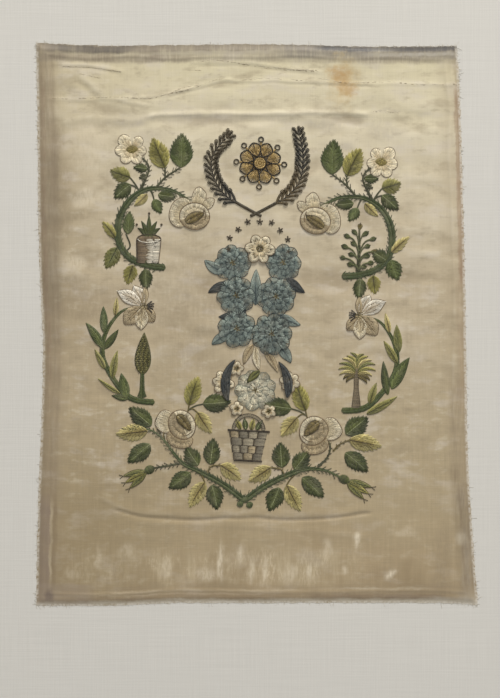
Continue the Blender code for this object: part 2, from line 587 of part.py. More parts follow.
def rosette():
    """A round rosette on a disc, with a knob at its middle and rings between its petals' tips."""
    hub = ROSETTE_RADIUS * 0.28
    step = 2 * math.pi / ROSETTE_PETALS
    disc = oval_pad(ROSETTE, ROSETTE_RADIUS * 0.78, ROSETTE_RADIUS * 0.78, 0, "old_gold", 16)
    length, width = ROSETTE_RADIUS - hub, ROSETTE_PETAL_WIDTH
    petals = ring_of_petals(ROSETTE, ROSETTE_PETALS, hub, length, width, "old_gold", step / 2)
    reach = ROSETTE_RADIUS * 1.1
    rings = [
        oval_pad(ROSETTE + heading(step * i) * reach, ROSETTE_RING, ROSETTE_RING, 0, "black_metal", 6)
        for i in range(ROSETTE_PETALS)
    ]
    return [disc, *petals, *rings, oval_pad(ROSETTE, hub, hub, 0, "old_gold", 8)]


def garland_knot():
    """The round knobs where the garland's two halves meet."""
    knobs = [(Vector((x, y)) * MM, radius * MM) for x, y, radius in GARLAND_KNOT_MM]
    return [oval_pad(centre, radius, radius, 0.2, "dark_green", 7) for centre, radius in knobs]


def side_of_the_garland(side):
    """Everything that is worked on one side of the mirror axis, as it stands on the left."""
    pads = [stem_pad(row) for row in STEMS if side in row.sides]
    pads += [table_leaf(row) for row in LEAVES if side in row.sides]
    for rose in ROSES:
        pads += side_rose(rose)
    return pads + dog_rose() + lily() + bud() + wreath_half(side)


def over_the_axis(point):
    """A point's twin on the right, which stands a little further from the axis or nearer to it."""
    height = point.y / MM
    stretch = RIGHT_STRETCH[0][1]
    for (low, first), (high, last) in zip(RIGHT_STRETCH, RIGHT_STRETCH[1:]):
        if height > low:
            stretch = first + (last - first) * min(1, (height - low) / (high - low))
    return Vector((-point.x * stretch, point.y))


def mirrored(pad):
    """The same pad on the other side of the axis, with its rim still running the same way round."""
    rim = [over_the_axis(p) for p in reversed(pad.rim)]
    return Pad(rim, [over_the_axis(p) for p in pad.crest], pad.silk)


def placed(pad):
    """The pad moved from the embroidery's frame to the panel's."""
    turn = Matrix.Rotation(FRAME_TURN, 2)
    rim = [FRAME_CENTRE + turn @ p for p in pad.rim]
    return Pad(rim, [FRAME_CENTRE + turn @ p for p in pad.crest], pad.silk)


def embroidery():
    pads = side_of_the_garland(1) + [mirrored(p) for p in side_of_the_garland(-1)]
    pads += garland_knot() + rosette() + bouquet() + basket() + potted_plant() + spike() + sprig() + tuft()
    return [placed(p) for p in pads]


class Relief:
    """How high the panel's top face stands at any point."""

    def __init__(self, rim, pads):
        self.rim = rim + rim[:1]
        self.pads = pads
        self.boxes = []
        for pad in pads:
            xs, ys = [p.x for p in pad.rim], [p.y for p in pad.rim]
            self.boxes.append((min(xs), max(xs), min(ys), max(ys)))
        self.creases = [(crease, in_metres(crease.points_mm)) for crease in CREASES]

    def cloth(self, point):
        """The satin alone: soft cockles, the fold of the opened margin and the old creases."""
        from_edge = distance_to_path(point, self.rim)
        settled = min(1.0, from_edge / (2 * MARGIN))
        wave = math.sin(2 * math.pi * (point.x / COCKLE_LENGTH_X + math.sin(point.y / COCKLE_LENGTH_Y)))
        height = CLOTH_THICKNESS + COCKLE_HEIGHT * (0.5 + 0.5 * wave) * settled
        fold = max(0.0, 1 - abs(from_edge - MARGIN) / MARGIN_RIDGE_HALF_WIDTH)
        height += MARGIN_RIDGE * fold
        for crease, path in self.creases:
            away = distance_to_path(point, path) / (crease.half_width_mm * MM)
            height += crease.height_mm * MM * max(0.0, 1 - away)
        return height

    def pad_at(self, point):
        """The last pad that holds the point, and how far inside its rim the point is, or None."""
        for pad, (low_x, high_x, low_y, high_y) in zip(reversed(self.pads), reversed(self.boxes)):
            if low_x < point.x < high_x and low_y < point.y < high_y and inside(point, pad.rim):
                return pad, distance_to_path(point, pad.rim + pad.rim[:1])
        return None

    def at(self, point):
        found = self.pad_at(point)
        if found is None:
            return self.cloth(point)
        pad, inset = found
        rise = max(THINNEST_STITCHING, min(1.0, inset / STITCH_RAMP)) if inset > 0.02 * MM else 0.0
        return self.cloth(point) + STITCH_HEIGHT * rise


def offset_path(path, distance):
    """The path moved sideways."""
    moved = []
    for i, point in enumerate(path):
        along = path[min(i + 1, len(path) - 1)] - path[max(i - 1, 0)]
        moved.append(point + left_of(along) * distance)
    return moved


class Plan:
    """The points and lines that the top face's triangles have to follow."""

    def __init__(self):
        self.points = []
        self.lines = []

    def add_path(self, path, closed=False):
        first = len(self.points)
        self.points += path
        self.lines += [(first + i, first + i + 1) for i in range(len(path) - 1)]
        if closed:
            self.lines.append((first + len(path) - 1, first))

    def add_grid(self, rim, pitch, clearance):
        """Fills the open cloth with points, none of them close to a line."""
        taken = list(self.points)
        columns = int((max(p.x for p in rim) - min(p.x for p in rim)) / pitch)
        rows = int((max(p.y for p in rim) - min(p.y for p in rim)) / pitch)
        for column in range(-columns // 2, columns // 2 + 1):
            for row in range(-rows // 2, rows // 2 + 1):
                point = Vector((column + 0.5 * (row % 2), row)) * pitch
                if not inside(point, rim) or distance_to_path(point, rim + rim[:1]) < clearance:
                    continue
                if all((point - other).length > clearance for other in taken):
                    self.points.append(point)


def inset_outline(rim, distance):
    """The margin's fold line, which runs round the panel inside its rim."""
    middle = sum(rim, Vector((0, 0))) / len(rim)
    fold = []
    for i, point in enumerate(rim):
        inward = -left_of(rim[(i + 1) % len(rim)] - rim[i - 1])
        if inward.dot(middle - point) < 0:
            inward = -inward
        fold.append(point + inward * distance)
    return fold


def panel_plan(rim, pads):
    plan = Plan()
    plan.add_path(rim, closed=True)
    plan.add_path(inset_outline(rim, MARGIN)[1::2], closed=True)
    for crease in CREASES:
        path = catmull(in_metres(crease.points_mm), 2 * len(crease.points_mm) + 1)
        plan.add_path(path)
        for side in (-1, 1):
            plan.add_path(offset_path(path, side * crease.half_width_mm * MM))
    for pad in pads:
        plan.add_path(pad.rim, closed=True)
        plan.points += pad.crest
    plan.add_grid(rim, GRID_PITCH, GRID_CLEARANCE)
    return plan


def silk_material(name, red, green, blue, roughness):
    material = bpy.data.materials.new(name)
    material.use_nodes = True
    shader = material.node_tree.nodes["Principled BSDF"]
    shader.inputs["Base Color"].default_value = (red, green, blue, 1)
    shader.inputs["Roughness"].default_value = roughness
    shader.inputs["Metallic"].default_value = 0.6 if name in ("black_metal", "old_gold") else 0.0
    material.diffuse_color = (red, green, blue, 1)
    return material


def build_panel():
    rim = cloth_outline()
    pads = embroidery()
    plan = panel_plan(rim, pads)
    points, _, triangles, _, _, _ = delaunay_2d_cdt(
        plan.points, plan.lines, [list(range(len(rim)))[::-1]], 1, 0.05 * MM
    )
    relief = Relief(rim, pads)
    slots = list(SILKS)

    body = bmesh.new()
    top = [body.verts.new((p.x, p.y, relief.at(p))) for p in points]
    for corners in triangles:
        face = body.faces.new([top[i] for i in corners])
        face.normal_update()
        if face.normal.z < 0:
            face.normal_flip()
        found = relief.pad_at(sum((points[i] for i in corners), Vector((0, 0))) / 3)
        face.material_index = slots.index(found[0].silk) if found else 0

    hem = [edge for edge in body.edges if edge.is_boundary]
    walls = bmesh.ops.extrude_edge_only(body, edges=hem)["geom"]
    foot = [item for item in walls if isinstance(item, bmesh.types.BMVert)]
    for vertex in foot:
        vertex.co.z = 0.0
    bmesh.ops.contextual_create(body, geom=[e for e in body.edges if e.is_boundary])
    bmesh.ops.recalc_face_normals(body, faces=body.faces)

    mesh = bpy.data.meshes.new("silk_panel")
    body.to_mesh(mesh)
    body.free()
    for name, values in SILKS.items():
        mesh.materials.append(silk_material(name, *values))
    return bpy.data.objects.new("silk_panel", mesh)


def main():
    for old in list(bpy.data.objects):
        bpy.data.objects.remove(old)
    collection = bpy.data.collections.new("embroidered_silk_panel")
    bpy.context.scene.collection.children.link(collection)
    collection.objects.link(build_panel())


main()
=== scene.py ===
"""The looks of an embroidered silk panel: the worn satin, and every stitch of its silk and metal thread.

Lengths are metres, and millimetres in the names and tables that say so. X runs across the panel, Y up
its length and Z out of its face. What is worked on both sides of the panel is given for the left.
"""

import math
from collections import namedtuple
from math import pi, radians

import bpy
import numpy as np
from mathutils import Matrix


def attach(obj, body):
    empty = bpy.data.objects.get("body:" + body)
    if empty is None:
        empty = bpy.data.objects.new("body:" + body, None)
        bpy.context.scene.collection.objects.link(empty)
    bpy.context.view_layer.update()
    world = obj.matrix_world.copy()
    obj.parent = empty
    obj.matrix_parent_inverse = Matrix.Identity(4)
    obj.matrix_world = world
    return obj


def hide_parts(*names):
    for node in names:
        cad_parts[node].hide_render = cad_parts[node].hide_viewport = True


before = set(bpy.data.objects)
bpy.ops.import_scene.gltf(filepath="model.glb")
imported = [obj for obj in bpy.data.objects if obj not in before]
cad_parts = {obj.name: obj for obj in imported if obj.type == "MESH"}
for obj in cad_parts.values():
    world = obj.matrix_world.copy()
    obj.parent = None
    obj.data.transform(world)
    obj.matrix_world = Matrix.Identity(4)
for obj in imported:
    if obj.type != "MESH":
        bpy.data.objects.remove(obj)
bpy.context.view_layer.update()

MM = 0.001

# Smooth noise repeats after so many bumps, and starts well inside them
RIPPLE_CELLS = 255
RIPPLE_OFFSET = 100

# The cloth: its corners, and how far each edge bows outwards at a share of its length
CORNERS_MM = ((-154.7, 196.6), (140.0, 194.5), (154.7, -196.7), (-154.7, -197.2))
Bow = namedtuple("Bow", "share outward_mm")
EDGE_BOWS = {
    "top": (Bow(0.16, -1.4), Bow(0.34, -0.6), Bow(0.55, 0.3), Bow(0.78, -0.7)),
    "right": (Bow(0.10, 0.6), Bow(0.38, -0.3), Bow(0.58, -2.0), Bow(0.74, -3.1), Bow(0.90, -1.6)),
    "bottom": (Bow(0.10, -1.4), Bow(0.30, -1.7), Bow(0.50, -1.6), Bow(0.68, -1.7), Bow(0.84, 0.1)),
    "left": (Bow(0.17, -1.4), Bow(0.32, -3.7), Bow(0.46, -4.8), Bow(0.62, -2.2), Bow(0.85, -1.0)),
}
COLUMN_BANDS_MM = ((0, 22, 1.0), (22, 288, 1.75), (288, 310, 1.0))
ROW_BANDS_MM = ((0, 14, 0.9), (14, 54, 1.7), (54, 84, 0.9), (84, 336, 1.7), (336, 394, 0.8))
CLOTH_TOP = 1.15 * MM
LEAST_CLOTH_TOP = 0.35 * MM
RIM_TOP = 0.11 * MM
RIM_SLOPE = 5.0 * MM
RIM_FRAY = 0.45 * MM

# An old fold runs just inside the edges
OLD_FOLD_INSET = 8.5 * MM
OLD_FOLD_WANDER = 1.2 * MM
OLD_FOLD_HALF_WIDTH = 1.0 * MM
OLD_FOLD_HEIGHT = 0.28 * MM

# Cockles: the height, size and seed of each noise, and how far they warp
COCKLES = ((0.42 * MM, (0.036, 0.016), 3), (0.32 * MM, (0.020, 0.0085), 4), (0.13 * MM, (0.010, 0.0046), 5))
COCKLE_WARP = 4 * MM
RIDGE_WANDER = 0.7 * MM

Ridge = namedtuple("Ridge", "height_mm half_width_mm points_mm")
RIDGES = tuple(map(Ridge._make, (
    (0.26, 1.3, ((-136, 181), (-116, 180.5), (-95, 177.5))),
    (-0.18, 1.2, ((-134, 178.5), (-112, 178), (-98, 175.5))),
    (0.30, 2.6, ((-122, 172), (-114, 166), (-108, 160))),
    (-0.28, 2.2, ((-127, 171), (-119, 164), (-113, 158))),
    (0.28, 1.4, ((-45, 183), (-14, 183.5), (10, 180.5), (44, 176))),
    (-0.16, 1.3, ((-40, 180.5), (-14, 181), (10, 178), (40, 174))),
    (0.22, 1.4, ((-145, 158), (-118, 157), (-78, 158.5), (-47, 165), (-20, 171))),
    (0.26, 1.3, ((-20, 170.4), (30, 169.6), (79, 168.2), (138, 167.4))),
    (0.30, 1.1, ((-66, 158.5), (-54, 163), (-44, 165))),
    (0.20, 1.2, ((-98, 158), (-88, 154), (-78, 153))),
    (-0.16, 1.2, ((-80, 156), (-47, 162.5), (-20, 168.5), (30, 168), (79, 166.5))),
    (0.56, 1.7, ((-74, 145.4), (-60, 147.2), (0, 147.2), (58, 148.2), (76, 147))),
    (0.34, 2.6, ((-134, 141), (-112, 144), (-88, 143), (-74, 146))),
    (0.30, 3.0, ((70, 148), (92, 147), (110, 143))),
    (-0.34, 3.2, ((-72, 141.5), (-50, 143), (0, 142.5), (50, 144), (70, 141))),
    (-0.20, 3.0, ((-112, 139), (-92, 137), (-80, 139))),
    (0.26, 2.8, ((-108, -122), (-92, -129.5), (-66, -132.5), (-8, -132), (52, -132.5), (74, -129))),
    (-0.62, 1.2,
     ((-98, -130), (-82, -134.5), (-66, -136), (-38, -137), (-8, -135.6), (24, -137), (50, -136),
      (78, -132))),
    (0.18, 2.0, ((-84, -139), (-40, -141), (0, -141.5), (50, -146), (76, -149))),
)))
# Sharp creases, drawn as fine threads of painted shadow: the points of each and the share of it laid dark
Split = namedtuple("Split", "points_mm dark")
CREASE_SHADE_LINES = tuple(map(Split._make, (
    (((-136, 180), (-124, 179.5), (-116, 179.2), (-104, 177.6), (-95, 176.2)), 0.9),
    (((-124, 175), (-118, 173.5), (-108, 171.5)), 0.5),
    (((-46, 181.5), (-34, 184.5), (-24, 184), (-4, 180.8), (16, 178.8), (44, 176)), 0.45),
    (((-43, 177.5), (-39, 177.2)), 0.6),
    (((4, 179), (24, 177.6), (43, 177.4)), 0.5),
    (((-146, 158), (-130, 157.4), (-100, 158.6), (-76, 157.6), (-62, 160.8), (-46, 164.4), (-30, 170.4),
      (-21, 172)), 0.5),
    (((-12, 170.6), (10, 171.4), (30, 170.4), (42, 171.6), (62, 168.6), (92, 169), (118, 167),
      (142, 167.8)), 0.25),
    (((-62, 160.4), (-52, 165), (-40, 167)), 0.7),
    (((80, 148.6), (92, 148.2), (100, 147.6)), 0.45),
)))

# The embroidery's own frame, which leans a little on the cloth
FRAME_CENTRE_MM = np.array((-4.5, -4.4))
FRAME_TURN = radians(-2.5)
HAND_WANDER_MM = 0.7

# Thread
FLOSS_MM = 0.60
FINE_MM = 0.36
CORD_MM = 0.72
PITCH_MM = 0.50
STEM_PITCH_MM = 0.5
STEM_SLANT_MM = 1.5
THIN_STEM_HALF_MM = 0.8
THORN_PITCH_MM = 1.6
LEAST_RISE = 0.08 * MM
MOST_RISE = 0.42 * MM
EDGE_THREADS = 240
GROUND_SLOPE = (0.75 * RIM_TOP, 0.02 * MM)

# A loose thread shows as much of the fibre pattern as a stitch between these places
LOOSE_PATTERN_MM = np.array(((0.0, 0.0), (1.0, 0.0)))
STATIONS = np.array((0.0, 0.13, 0.5, 0.87, 1.0))
ARCH = np.array((-0.25, 0.7, 1.0, 0.7, -0.25))
TAPER = np.array((0.55, 1.0, 1.0, 1.0, 0.55))
ACROSS = np.array((-1.0, -0.5, 0.5, 1.0))
ROUND = np.array((0.0, 0.8, 0.8, 0.0))


def srgb(red, green, blue):
    """An 8-bit screen colour as linear light."""
    values = np.array((red, green, blue)) / 255.0
    return np.where(values <= 0.04045, values / 12.92, ((values + 0.055) / 1.055) ** 2.4)


# Thread colours: near a leaf's rib or a petal's foot, at its edge, and of its rib or outline
Dye = namedtuple("Dye", "inner outer line")
DARK_GREEN = Dye(srgb(108, 115, 62), srgb(64, 74, 32), srgb(116, 124, 78))
DEEP_GREEN = Dye(srgb(92, 97, 50), srgb(54, 61, 26), srgb(136, 140, 98))
OLIVE_GREEN = Dye(srgb(100, 102, 52), srgb(126, 122, 66), srgb(60, 64, 34))
GOLD_GREEN = Dye(srgb(100, 95, 38), srgb(168, 158, 86), srgb(66, 56, 26))
PALE_GOLD = Dye(srgb(130, 114, 58), srgb(198, 184, 122), srgb(74, 60, 28))
STEM_GREEN = Dye(srgb(108, 114, 70), srgb(64, 74, 38), srgb(54, 60, 32))
TWIG_GREEN = Dye(srgb(84, 84, 54), srgb(62, 62, 38), srgb(58, 54, 34))
CREAM = Dye(srgb(192, 174, 134), srgb(228, 216, 186), srgb(110, 88, 58))
TAN = Dye(srgb(148, 130, 96), srgb(188, 170, 134), srgb(110, 88, 58))
LILY_WHITE = Dye(srgb(192, 174, 143), srgb(246, 238, 218), srgb(124, 102, 70))
UMBER = Dye(srgb(118, 104, 56), srgb(90, 78, 38), srgb(62, 50, 28))
SLATE_BLUE = Dye(srgb(74, 87, 84), srgb(148, 158, 145), srgb(50, 62, 62))
SLATE_DARK = Dye(srgb(66, 68, 64), srgb(48, 52, 50), srgb(40, 42, 40))
PALE_BLUE = Dye(srgb(222, 210, 180), srgb(170, 170, 148), srgb(112, 114, 100))
BASKET_GREY = Dye(srgb(122, 112, 92), srgb(148, 138, 114), srgb(60, 50, 34))
POT_BROWN = Dye(srgb(104, 86, 62), srgb(134, 116, 88), srgb(66, 52, 36))
POT_WHITE = Dye(srgb(196, 184, 160), srgb(222, 214, 194), srgb(92, 76, 56))
PURL = Dye(srgb(56, 54, 48), srgb(102, 88, 62), srgb(44, 39, 32))
GOLD = Dye(srgb(150, 124, 72), srgb(202, 174, 116), srgb(70, 55, 36))
BARK = Dye(srgb(136, 120, 92), srgb(100, 86, 62), srgb(84, 72, 54))
SEED = Dye(srgb(112, 106, 54), srgb(78, 76, 36), srgb(176, 162, 96))
EYE_GOLD = Dye(srgb(150, 134, 74), srgb(112, 100, 50), srgb(70, 57, 33))
EYE_BROWN = Dye(srgb(134, 117, 72), srgb(112, 98, 56), srgb(62, 50, 28))
DULL_GOLD = Dye(srgb(100, 98, 46), srgb(150, 143, 82), srgb(62, 56, 28))

# What is given for the right side is mirrored, so that it reads as if it were on the left
BOTH, LEFT, RIGHT = (1, -1), (1,), (-1,)
Leaf = namedtuple("Leaf", "x_mm y_mm angle_deg length_mm width_mm dye teeth")
LEAVES = (
    (BOTH, (
        (-53, 111.8, 90, 23.5, 15, DARK_GREEN, 11),
        (-64.3, 111.3, 114, 21, 13, GOLD_GREEN, 9),
        (-88.5, 103, 165, 14.5, 9.5, DULL_GOLD, 7),
        (-88, 98, 221, 14, 9.5, DEEP_GREEN, 7),
        (-76.5, 109.5, 178, 9.5, 5.5, DEEP_GREEN, 5),
        (-76.5, 105, 200, 6, 3.6, TWIG_GREEN, 4),
        (-68, 92, -6, 12.5, 7.5, DEEP_GREEN, 7),
        (-71, 88.5, -60, 11, 7, DARK_GREEN, 6),
        (-76, 92, 222, 12.5, 6.5, PALE_GOLD, 0),
    )),
    (LEFT, (
        (-88.8, 64, 85, 16, 7.4, DARK_GREEN, 8),
        (-97.5, 61, 133, 13.5, 6, GOLD_GREEN, 5),
        (-96, 54, 243, 16, 9.5, OLIVE_GREEN, 7),
    )),
    (RIGHT, (
        (-92.5, 53.5, 27, 12, 9, DEEP_GREEN, 6),
        (-96, 59, 136, 15.5, 6, PALE_GOLD, 5),
        (-96, 54, 248, 15.5, 10.5, DARK_GREEN, 6),
    )),
    (BOTH, (
        (-84, 42, 258, 13.5, 8.5, GOLD_GREEN, 6),
        (-75, 39.5, 272, 14, 8.5, DEEP_GREEN, 7),
    )),
    (LEFT, (
        (-103, -17, 124, 20.5, 6, DARK_GREEN, 0),
        (-103, -6, 95, 18, 5.2, STEM_GREEN, 0),
        (-102, -17.5, 55, 16.5, 5, DEEP_GREEN, 0),
        (-95.5, 6, 84, 13, 3.6, PALE_GOLD, 0),
        (-95.5, -38, 84, 20.5, 5.2, DULL_GOLD, 0),
        (-100.5, -31.5, 120, 15, 4.2, DULL_GOLD, 0),
        (-89.5, -48, 146, 18.5, 2.8, DULL_GOLD, 0),
        (-85, -51.5, 101, 18, 7.4, DARK_GREEN, 0),
        (-84, -51.5, 170, 11.5, 4.4, DEEP_GREEN, 0),
    )),
    (RIGHT, (
        (-104.5, -11, 84, 19, 5.8, OLIVE_GREEN, 0),
        (-103.4, -19, 57, 17.5, 5.2, DULL_GOLD, 0),
        (-97.5, 2, 76, 14.5, 4, PALE_GOLD, 0),
        (-97.5, -41, 81, 23, 5.6, DEEP_GREEN, 0),
        (-100, -37, 117, 25, 8.6, DARK_GREEN, 0),
        (-85, -48, 108, 15, 5.4, DULL_GOLD, 0),
        (-82.5, -55.2, 148, 25, 5.4, DULL_GOLD, 0),
    )),
    (BOTH, (
        (-67, -70, 141, 20, 11.5, DEEP_GREEN, 9),
        (-69.5, -73.8, 189, 21, 11, PALE_GOLD, 8),
        (-67.5, -83, 224, 19, 11, DEEP_GREEN, 9),
        (-38.5, -101.5, 221, 19, 11, DEEP_GREEN, 9),
        (-28, -107.5, 241, 20.5, 10, PALE_GOLD, 8),
        (-23, -109.5, 286, 17, 11, DEEP_GREEN, 8),
        (-33, -96, 126, 15.5, 10.5, DEEP_GREEN, 7),
        (-24.5, -95, 83, 17.5, 11, DEEP_GREEN, 9),
        (-17, -95.5, -33, 17, 10, PALE_GOLD, 6),
        (-40.5, -54.5, 71, 20.5, 10.5, GOLD_GREEN, 9),
        (-30.5, -53.5, 10, 19, 12, DEEP_GREEN, 8),
        (-34.5, -59.5, -52, 17.5, 9.5, PALE_GOLD, 7),
    )),
)

# The right side is worked a little wider than the left at the foot, and narrower at the head
RIGHT_HEIGHTS_MM = (-68, -52, 92, 108)
RIGHT_STRETCH = (1.045, 1.0, 1.0, 0.975)

# Each stem has its widths, evenly spaced along it, and the length of its thorns
Stem = namedtuple("Stem", "sides points_mm widths_mm thorn_mm dye")
STEMS = tuple(map(Stem._make, (
    (BOTH,
     ((-45.5, 88.8), (-59, 95.5), (-76, 95.6), (-89, 86.5), (-95.5, 72), (-94.5, 57), (-86, 46.8),
      (-73, 42),
                (-61.5, 40.8)), (1.0, 2.2, 3.0, 4.2, 4.8, 4.8, 4.6, 4.6, 4.6), 2.4, STEM_GREEN),
    (BOTH,
     ((-79, 12.5), (-90, 9.8), (-98.5, 0), (-103, -12), (-102.5, -23), (-98.5, -32), (-92, -41.5),
      (-84, -49.5),
                (-76, -52.5), (-65, -53.3)), (1.0, 1.5, 2.2, 3.0, 3.6, 3.6, 3.8, 4.2, 4.4,
                                              4.4), 0, DARK_GREEN),
    (LEFT, ((0.5, -119), (-15.3, -108.4), (-31, -100.6), (-43.2, -95.6), (-51.2, -87.5), (-58, -79.4),
                (-66, -73.6), (-75.8, -71.2), (-84, -74)), (4.4, 4.4, 4.2, 3.4, 2.4, 1.6, 1.0, 0.8,
                                                            0.7), 2.4, STEM_GREEN),
    (RIGHT, ((-0.5, -119), (-12.6, -109.2), (-27.6, -100.6), (-41, -95.3), (-54, -95.4), (-65, -99.9)),
         (4.2, 4.4, 4.2, 3.2, 1.8, 1.0), 2.4, STEM_GREEN),
    (BOTH, ((-81, 94.5), (-77, 104), (-75.5, 110), (-78, 115), (-84, 119)), (2.0, 1.6, 1.4, 1.2, 0.9),
     1.9, TWIG_GREEN),
    (BOTH, ((-70, 97), (-63, 105), (-53, 112)), (1.6, 1.2, 0.9), 2.2, TWIG_GREEN),
    (LEFT, ((-43.9, -94.9), (-53.6, -97.4), (-65, -100)), (1.6, 1.2, 0.9), 2.0, TWIG_GREEN),
    (LEFT, ((-57.9, -79.4), (-58, -75.2), (-53.3, -71.5)), (0.9, 0.8, 0.7), 0, UMBER),
    (RIGHT, ((-49, -93.2), (-55.4, -87), (-57.4, -79.2), (-54.2, -73)), (1.6, 1.2, 1.0, 0.8), 1.0,
     TWIG_GREEN),
    (RIGHT, ((-59.4, -82.6), (-63, -77.5), (-71, -73.6), (-79.8, -74.4)), (0.9, 0.8, 0.8, 0.7), 1.2, UMBER),
    (LEFT, ((-61, -76), (-62, -70), (-64, -66)), (1.0, 0.8, 0.7), 1.6, TWIG_GREEN),
    (BOTH, ((-63.8, 103.5), (-64, 111)), (1.0, 0.9), 1.8, TWIG_GREEN),
    (BOTH, ((-82, 94.5), (-85, 99), (-88.5, 103)), (1.2, 0.9, 0.8), 0, TWIG_GREEN),
    (BOTH, ((-82, 95), (-85, 97), (-88, 98)), (1.0, 0.9, 0.8), 0, TWIG_GREEN),
    (BOTH, ((-74, 95.5), (-72, 92), (-71, 88.5)), (1.0, 0.9, 0.8), 0, TWIG_GREEN),
    (BOTH, ((-27, -102.5), (-24, -96.5), (-17, -95.5)), (1.0, 0.9, 0.8), 1.4, UMBER),
    (BOTH, ((-33, -100), (-30, -103.5), (-28, -107.5)), (0.9, 0.8, 0.8), 0, UMBER),
    (BOTH, ((-42, -64), (-41, -58), (-40.5, -54.5)), (0.9, 0.8, 0.8), 0, UMBER),
    (BOTH, ((-41, -58), (-36, -55), (-30.5, -53.5)), (0.9, 0.8, 0.8), 0, TWIG_GREEN),
    (BOTH, ((-41, -58), (-38, -57), (-34.5, -59.5)), (0.9, 0.8, 0.8), 0, UMBER),
    (LEFT, ((-93, 50), (-87, 55), (-90, 64)), (1.0, 0.9, 0.8), 0, TWIG_GREEN),
)))

# Roses seen from the side: a cup with its long eye, and outer petals that open round it
Rose = namedtuple("Rose", "x_mm y_mm lean_deg eye_deg eye_aside_mm petals")
ArcPetal = namedtuple("ArcPetal", "from_deg to_deg depth_mm dye")
ROSES = (
    Rose(-42.3, 78.2, 10, 30, -1.0,
         (ArcPetal(108, 224, 7.6, CREAM), ArcPetal(58, 101, 10.6, CREAM), ArcPetal(31, 60, 8.0, CREAM))),
    Rose(-45.3, -68.4, -58, -48, 1.8, (ArcPetal(209, 311, 6.8, TAN), ArcPetal(134, 212, 9.0, CREAM))),
)
ROSE_CUP_MM = (10.6, 9.4)
ROSE_CORE_MM = (3.4, 2.2)
ROSE_STITCHES = 92
ROSE_EYE_MM = (14.6, 6.6)
ROSE_EYE_SPECKS = 44
DOG_ROSE_MM = np.array((-88, 123))
DOG_ROSE_PETALS = ((133, 12.8), (55, 10.8), (-8, 10.4), (-61, 11.4), (-121, 11.8), (188, 12.0))
LILY_MM = np.array((-75.8, 13.5))
LilyPetal = namedtuple("LilyPetal", "angle_deg length_mm width_mm dye")
LILY_PETALS = (
    LilyPetal(86, 14, 5.0, TAN),
    LilyPetal(116, 16.5, 10, LILY_WHITE),
    LilyPetal(-50, 14, 9, TAN),
    LilyPetal(226, 19, 12, TAN),
    LilyPetal(268, 17, 10.5, CREAM),
    LilyPetal(151, 21.5, 10, LILY_WHITE),
)
BUD_MM = np.array((-66.5, -100.8))
BUD_ANGLE = radians(211)

WREATH_PATHS_MM = {
    1: ((3.6, 80.6), (-1.2, 82.8), (-12.7, 88.6), (-19.9, 92.5), (-26.5, 99.2), (-30.7, 107.5),
        (-32.1, 115.8), (-29.8, 123.8), (-21.5, 134.5)),
    -1: ((3.6, 80.4), (-1.2, 82.8), (-12.7, 89.0), (-19.9, 93.2), (-26.5, 100.3), (-30.7, 109.2),
         (-32.1, 118.1), (-32, 127.2), (-29.3, 139.7)),
}
WREATH_BARE_SHARE = 0.26
WREATH_PAIRS = 15
ROSETTE_MM = np.array((2, 117))
ROSETTE_RADIUS_MM = 15.0

# A posy of blue blooms with one of cream, and below it a paler one in a ring of small cream ones
Bloom = namedtuple("Bloom", "x_mm y_mm radius_mm petals dye lift_mm")
BLOOMS = (
    Bloom(-15, 46.5, 13.0, 8, SLATE_BLUE, 0.0),
    Bloom(21, 48, 13.0, 8, SLATE_BLUE, 0.0),
    Bloom(-11, 24, 13.5, 8, SLATE_BLUE, 0.4),
    Bloom(16.5, 24.5, 14.0, 8, SLATE_BLUE, 0.2),
    Bloom(-10, 0.5, 13.5, 8, SLATE_BLUE, 0.2),
    Bloom(15, -2, 15.0, 9, SLATE_BLUE, 0.6),
    Bloom(3.5, 57, 11.0, 6, CREAM, 0.9),
    Bloom(5.6, -41.5, 14.5, 9, PALE_BLUE, 0.0),
    Bloom(-17, -37.5, 8.5, 6, CREAM, 0.4),
    Bloom(-8, -27, 5.6, 5, CREAM, 0.4),
    Bloom(29, -35, 7.6, 6, CREAM, 0.4),
    Bloom(-6.5, -55, 5.4, 5, CREAM, 0.4),
    Bloom(15.5, -56, 5.4, 5, CREAM, 0.4),
)
BouquetLeaf = namedtuple("BouquetLeaf", "x_mm y_mm angle_deg bend_deg length_mm width_mm dye lift_mm")
BOUQUET_LEAVES = (
    BouquetLeaf(-20, 40, 152, -30, 17, 7.5, SLATE_BLUE, 0.0),
    BouquetLeaf(-16, 32, 205, 20, 16, 6.5, SLATE_DARK, 0.0),
    BouquetLeaf(24, 38, -38, 30, 16, 6.5, SLATE_DARK, 0.0),
    BouquetLeaf(-4, 14, 196, -30, 20, 7, SLATE_DARK, 0.0),
    BouquetLeaf(20, 12, -24, 30, 17, 6.5, SLATE_BLUE, 0.0),
    BouquetLeaf(-16, -4, 214, 30, 13, 7, SLATE_BLUE, 0.0),
    BouquetLeaf(2.5, 18, 92, 0, 25, 8, SLATE_BLUE, 0.0),
    BouquetLeaf(20, -10, -52, -30, 15, 7.5, SLATE_BLUE, 0.0),
    BouquetLeaf(2, -10, 250, 30, 15, 5.4, TAN, 0.0),
    BouquetLeaf(4, -12, 284, 20, 16, 5.4, CREAM, 0.0),
    BouquetLeaf(10, -13, 304, -20, 19, 5.0, TAN, 0.0),
    BouquetLeaf(-13, -50, 52, -62, 31, 6.4, SLATE_DARK, 1.25),
    BouquetLeaf(27.5, -46, 133, 55, 27, 6.0, SLATE_DARK, 1.25),
    BouquetLeaf(8, -28, 236, 20, 12, 5.0, OLIVE_GREEN, 1.0),
)
FLORET_CENTRE_MM = np.array((3, 55))
FLORET_REACH_MM = 21.5
BASKET_MM = np.array((2, -81))
BASKET_WIDTHS_MM = (19.0, 27.0)
BASKET_HEIGHT_MM = 21.0
BASKET_ROWS = 4
POT_FOOT_MM = np.array((-74, 43.5))
POT_HEIGHT_MM = 17.0
POT_WIDTHS_MM = (15.0, 17.0)
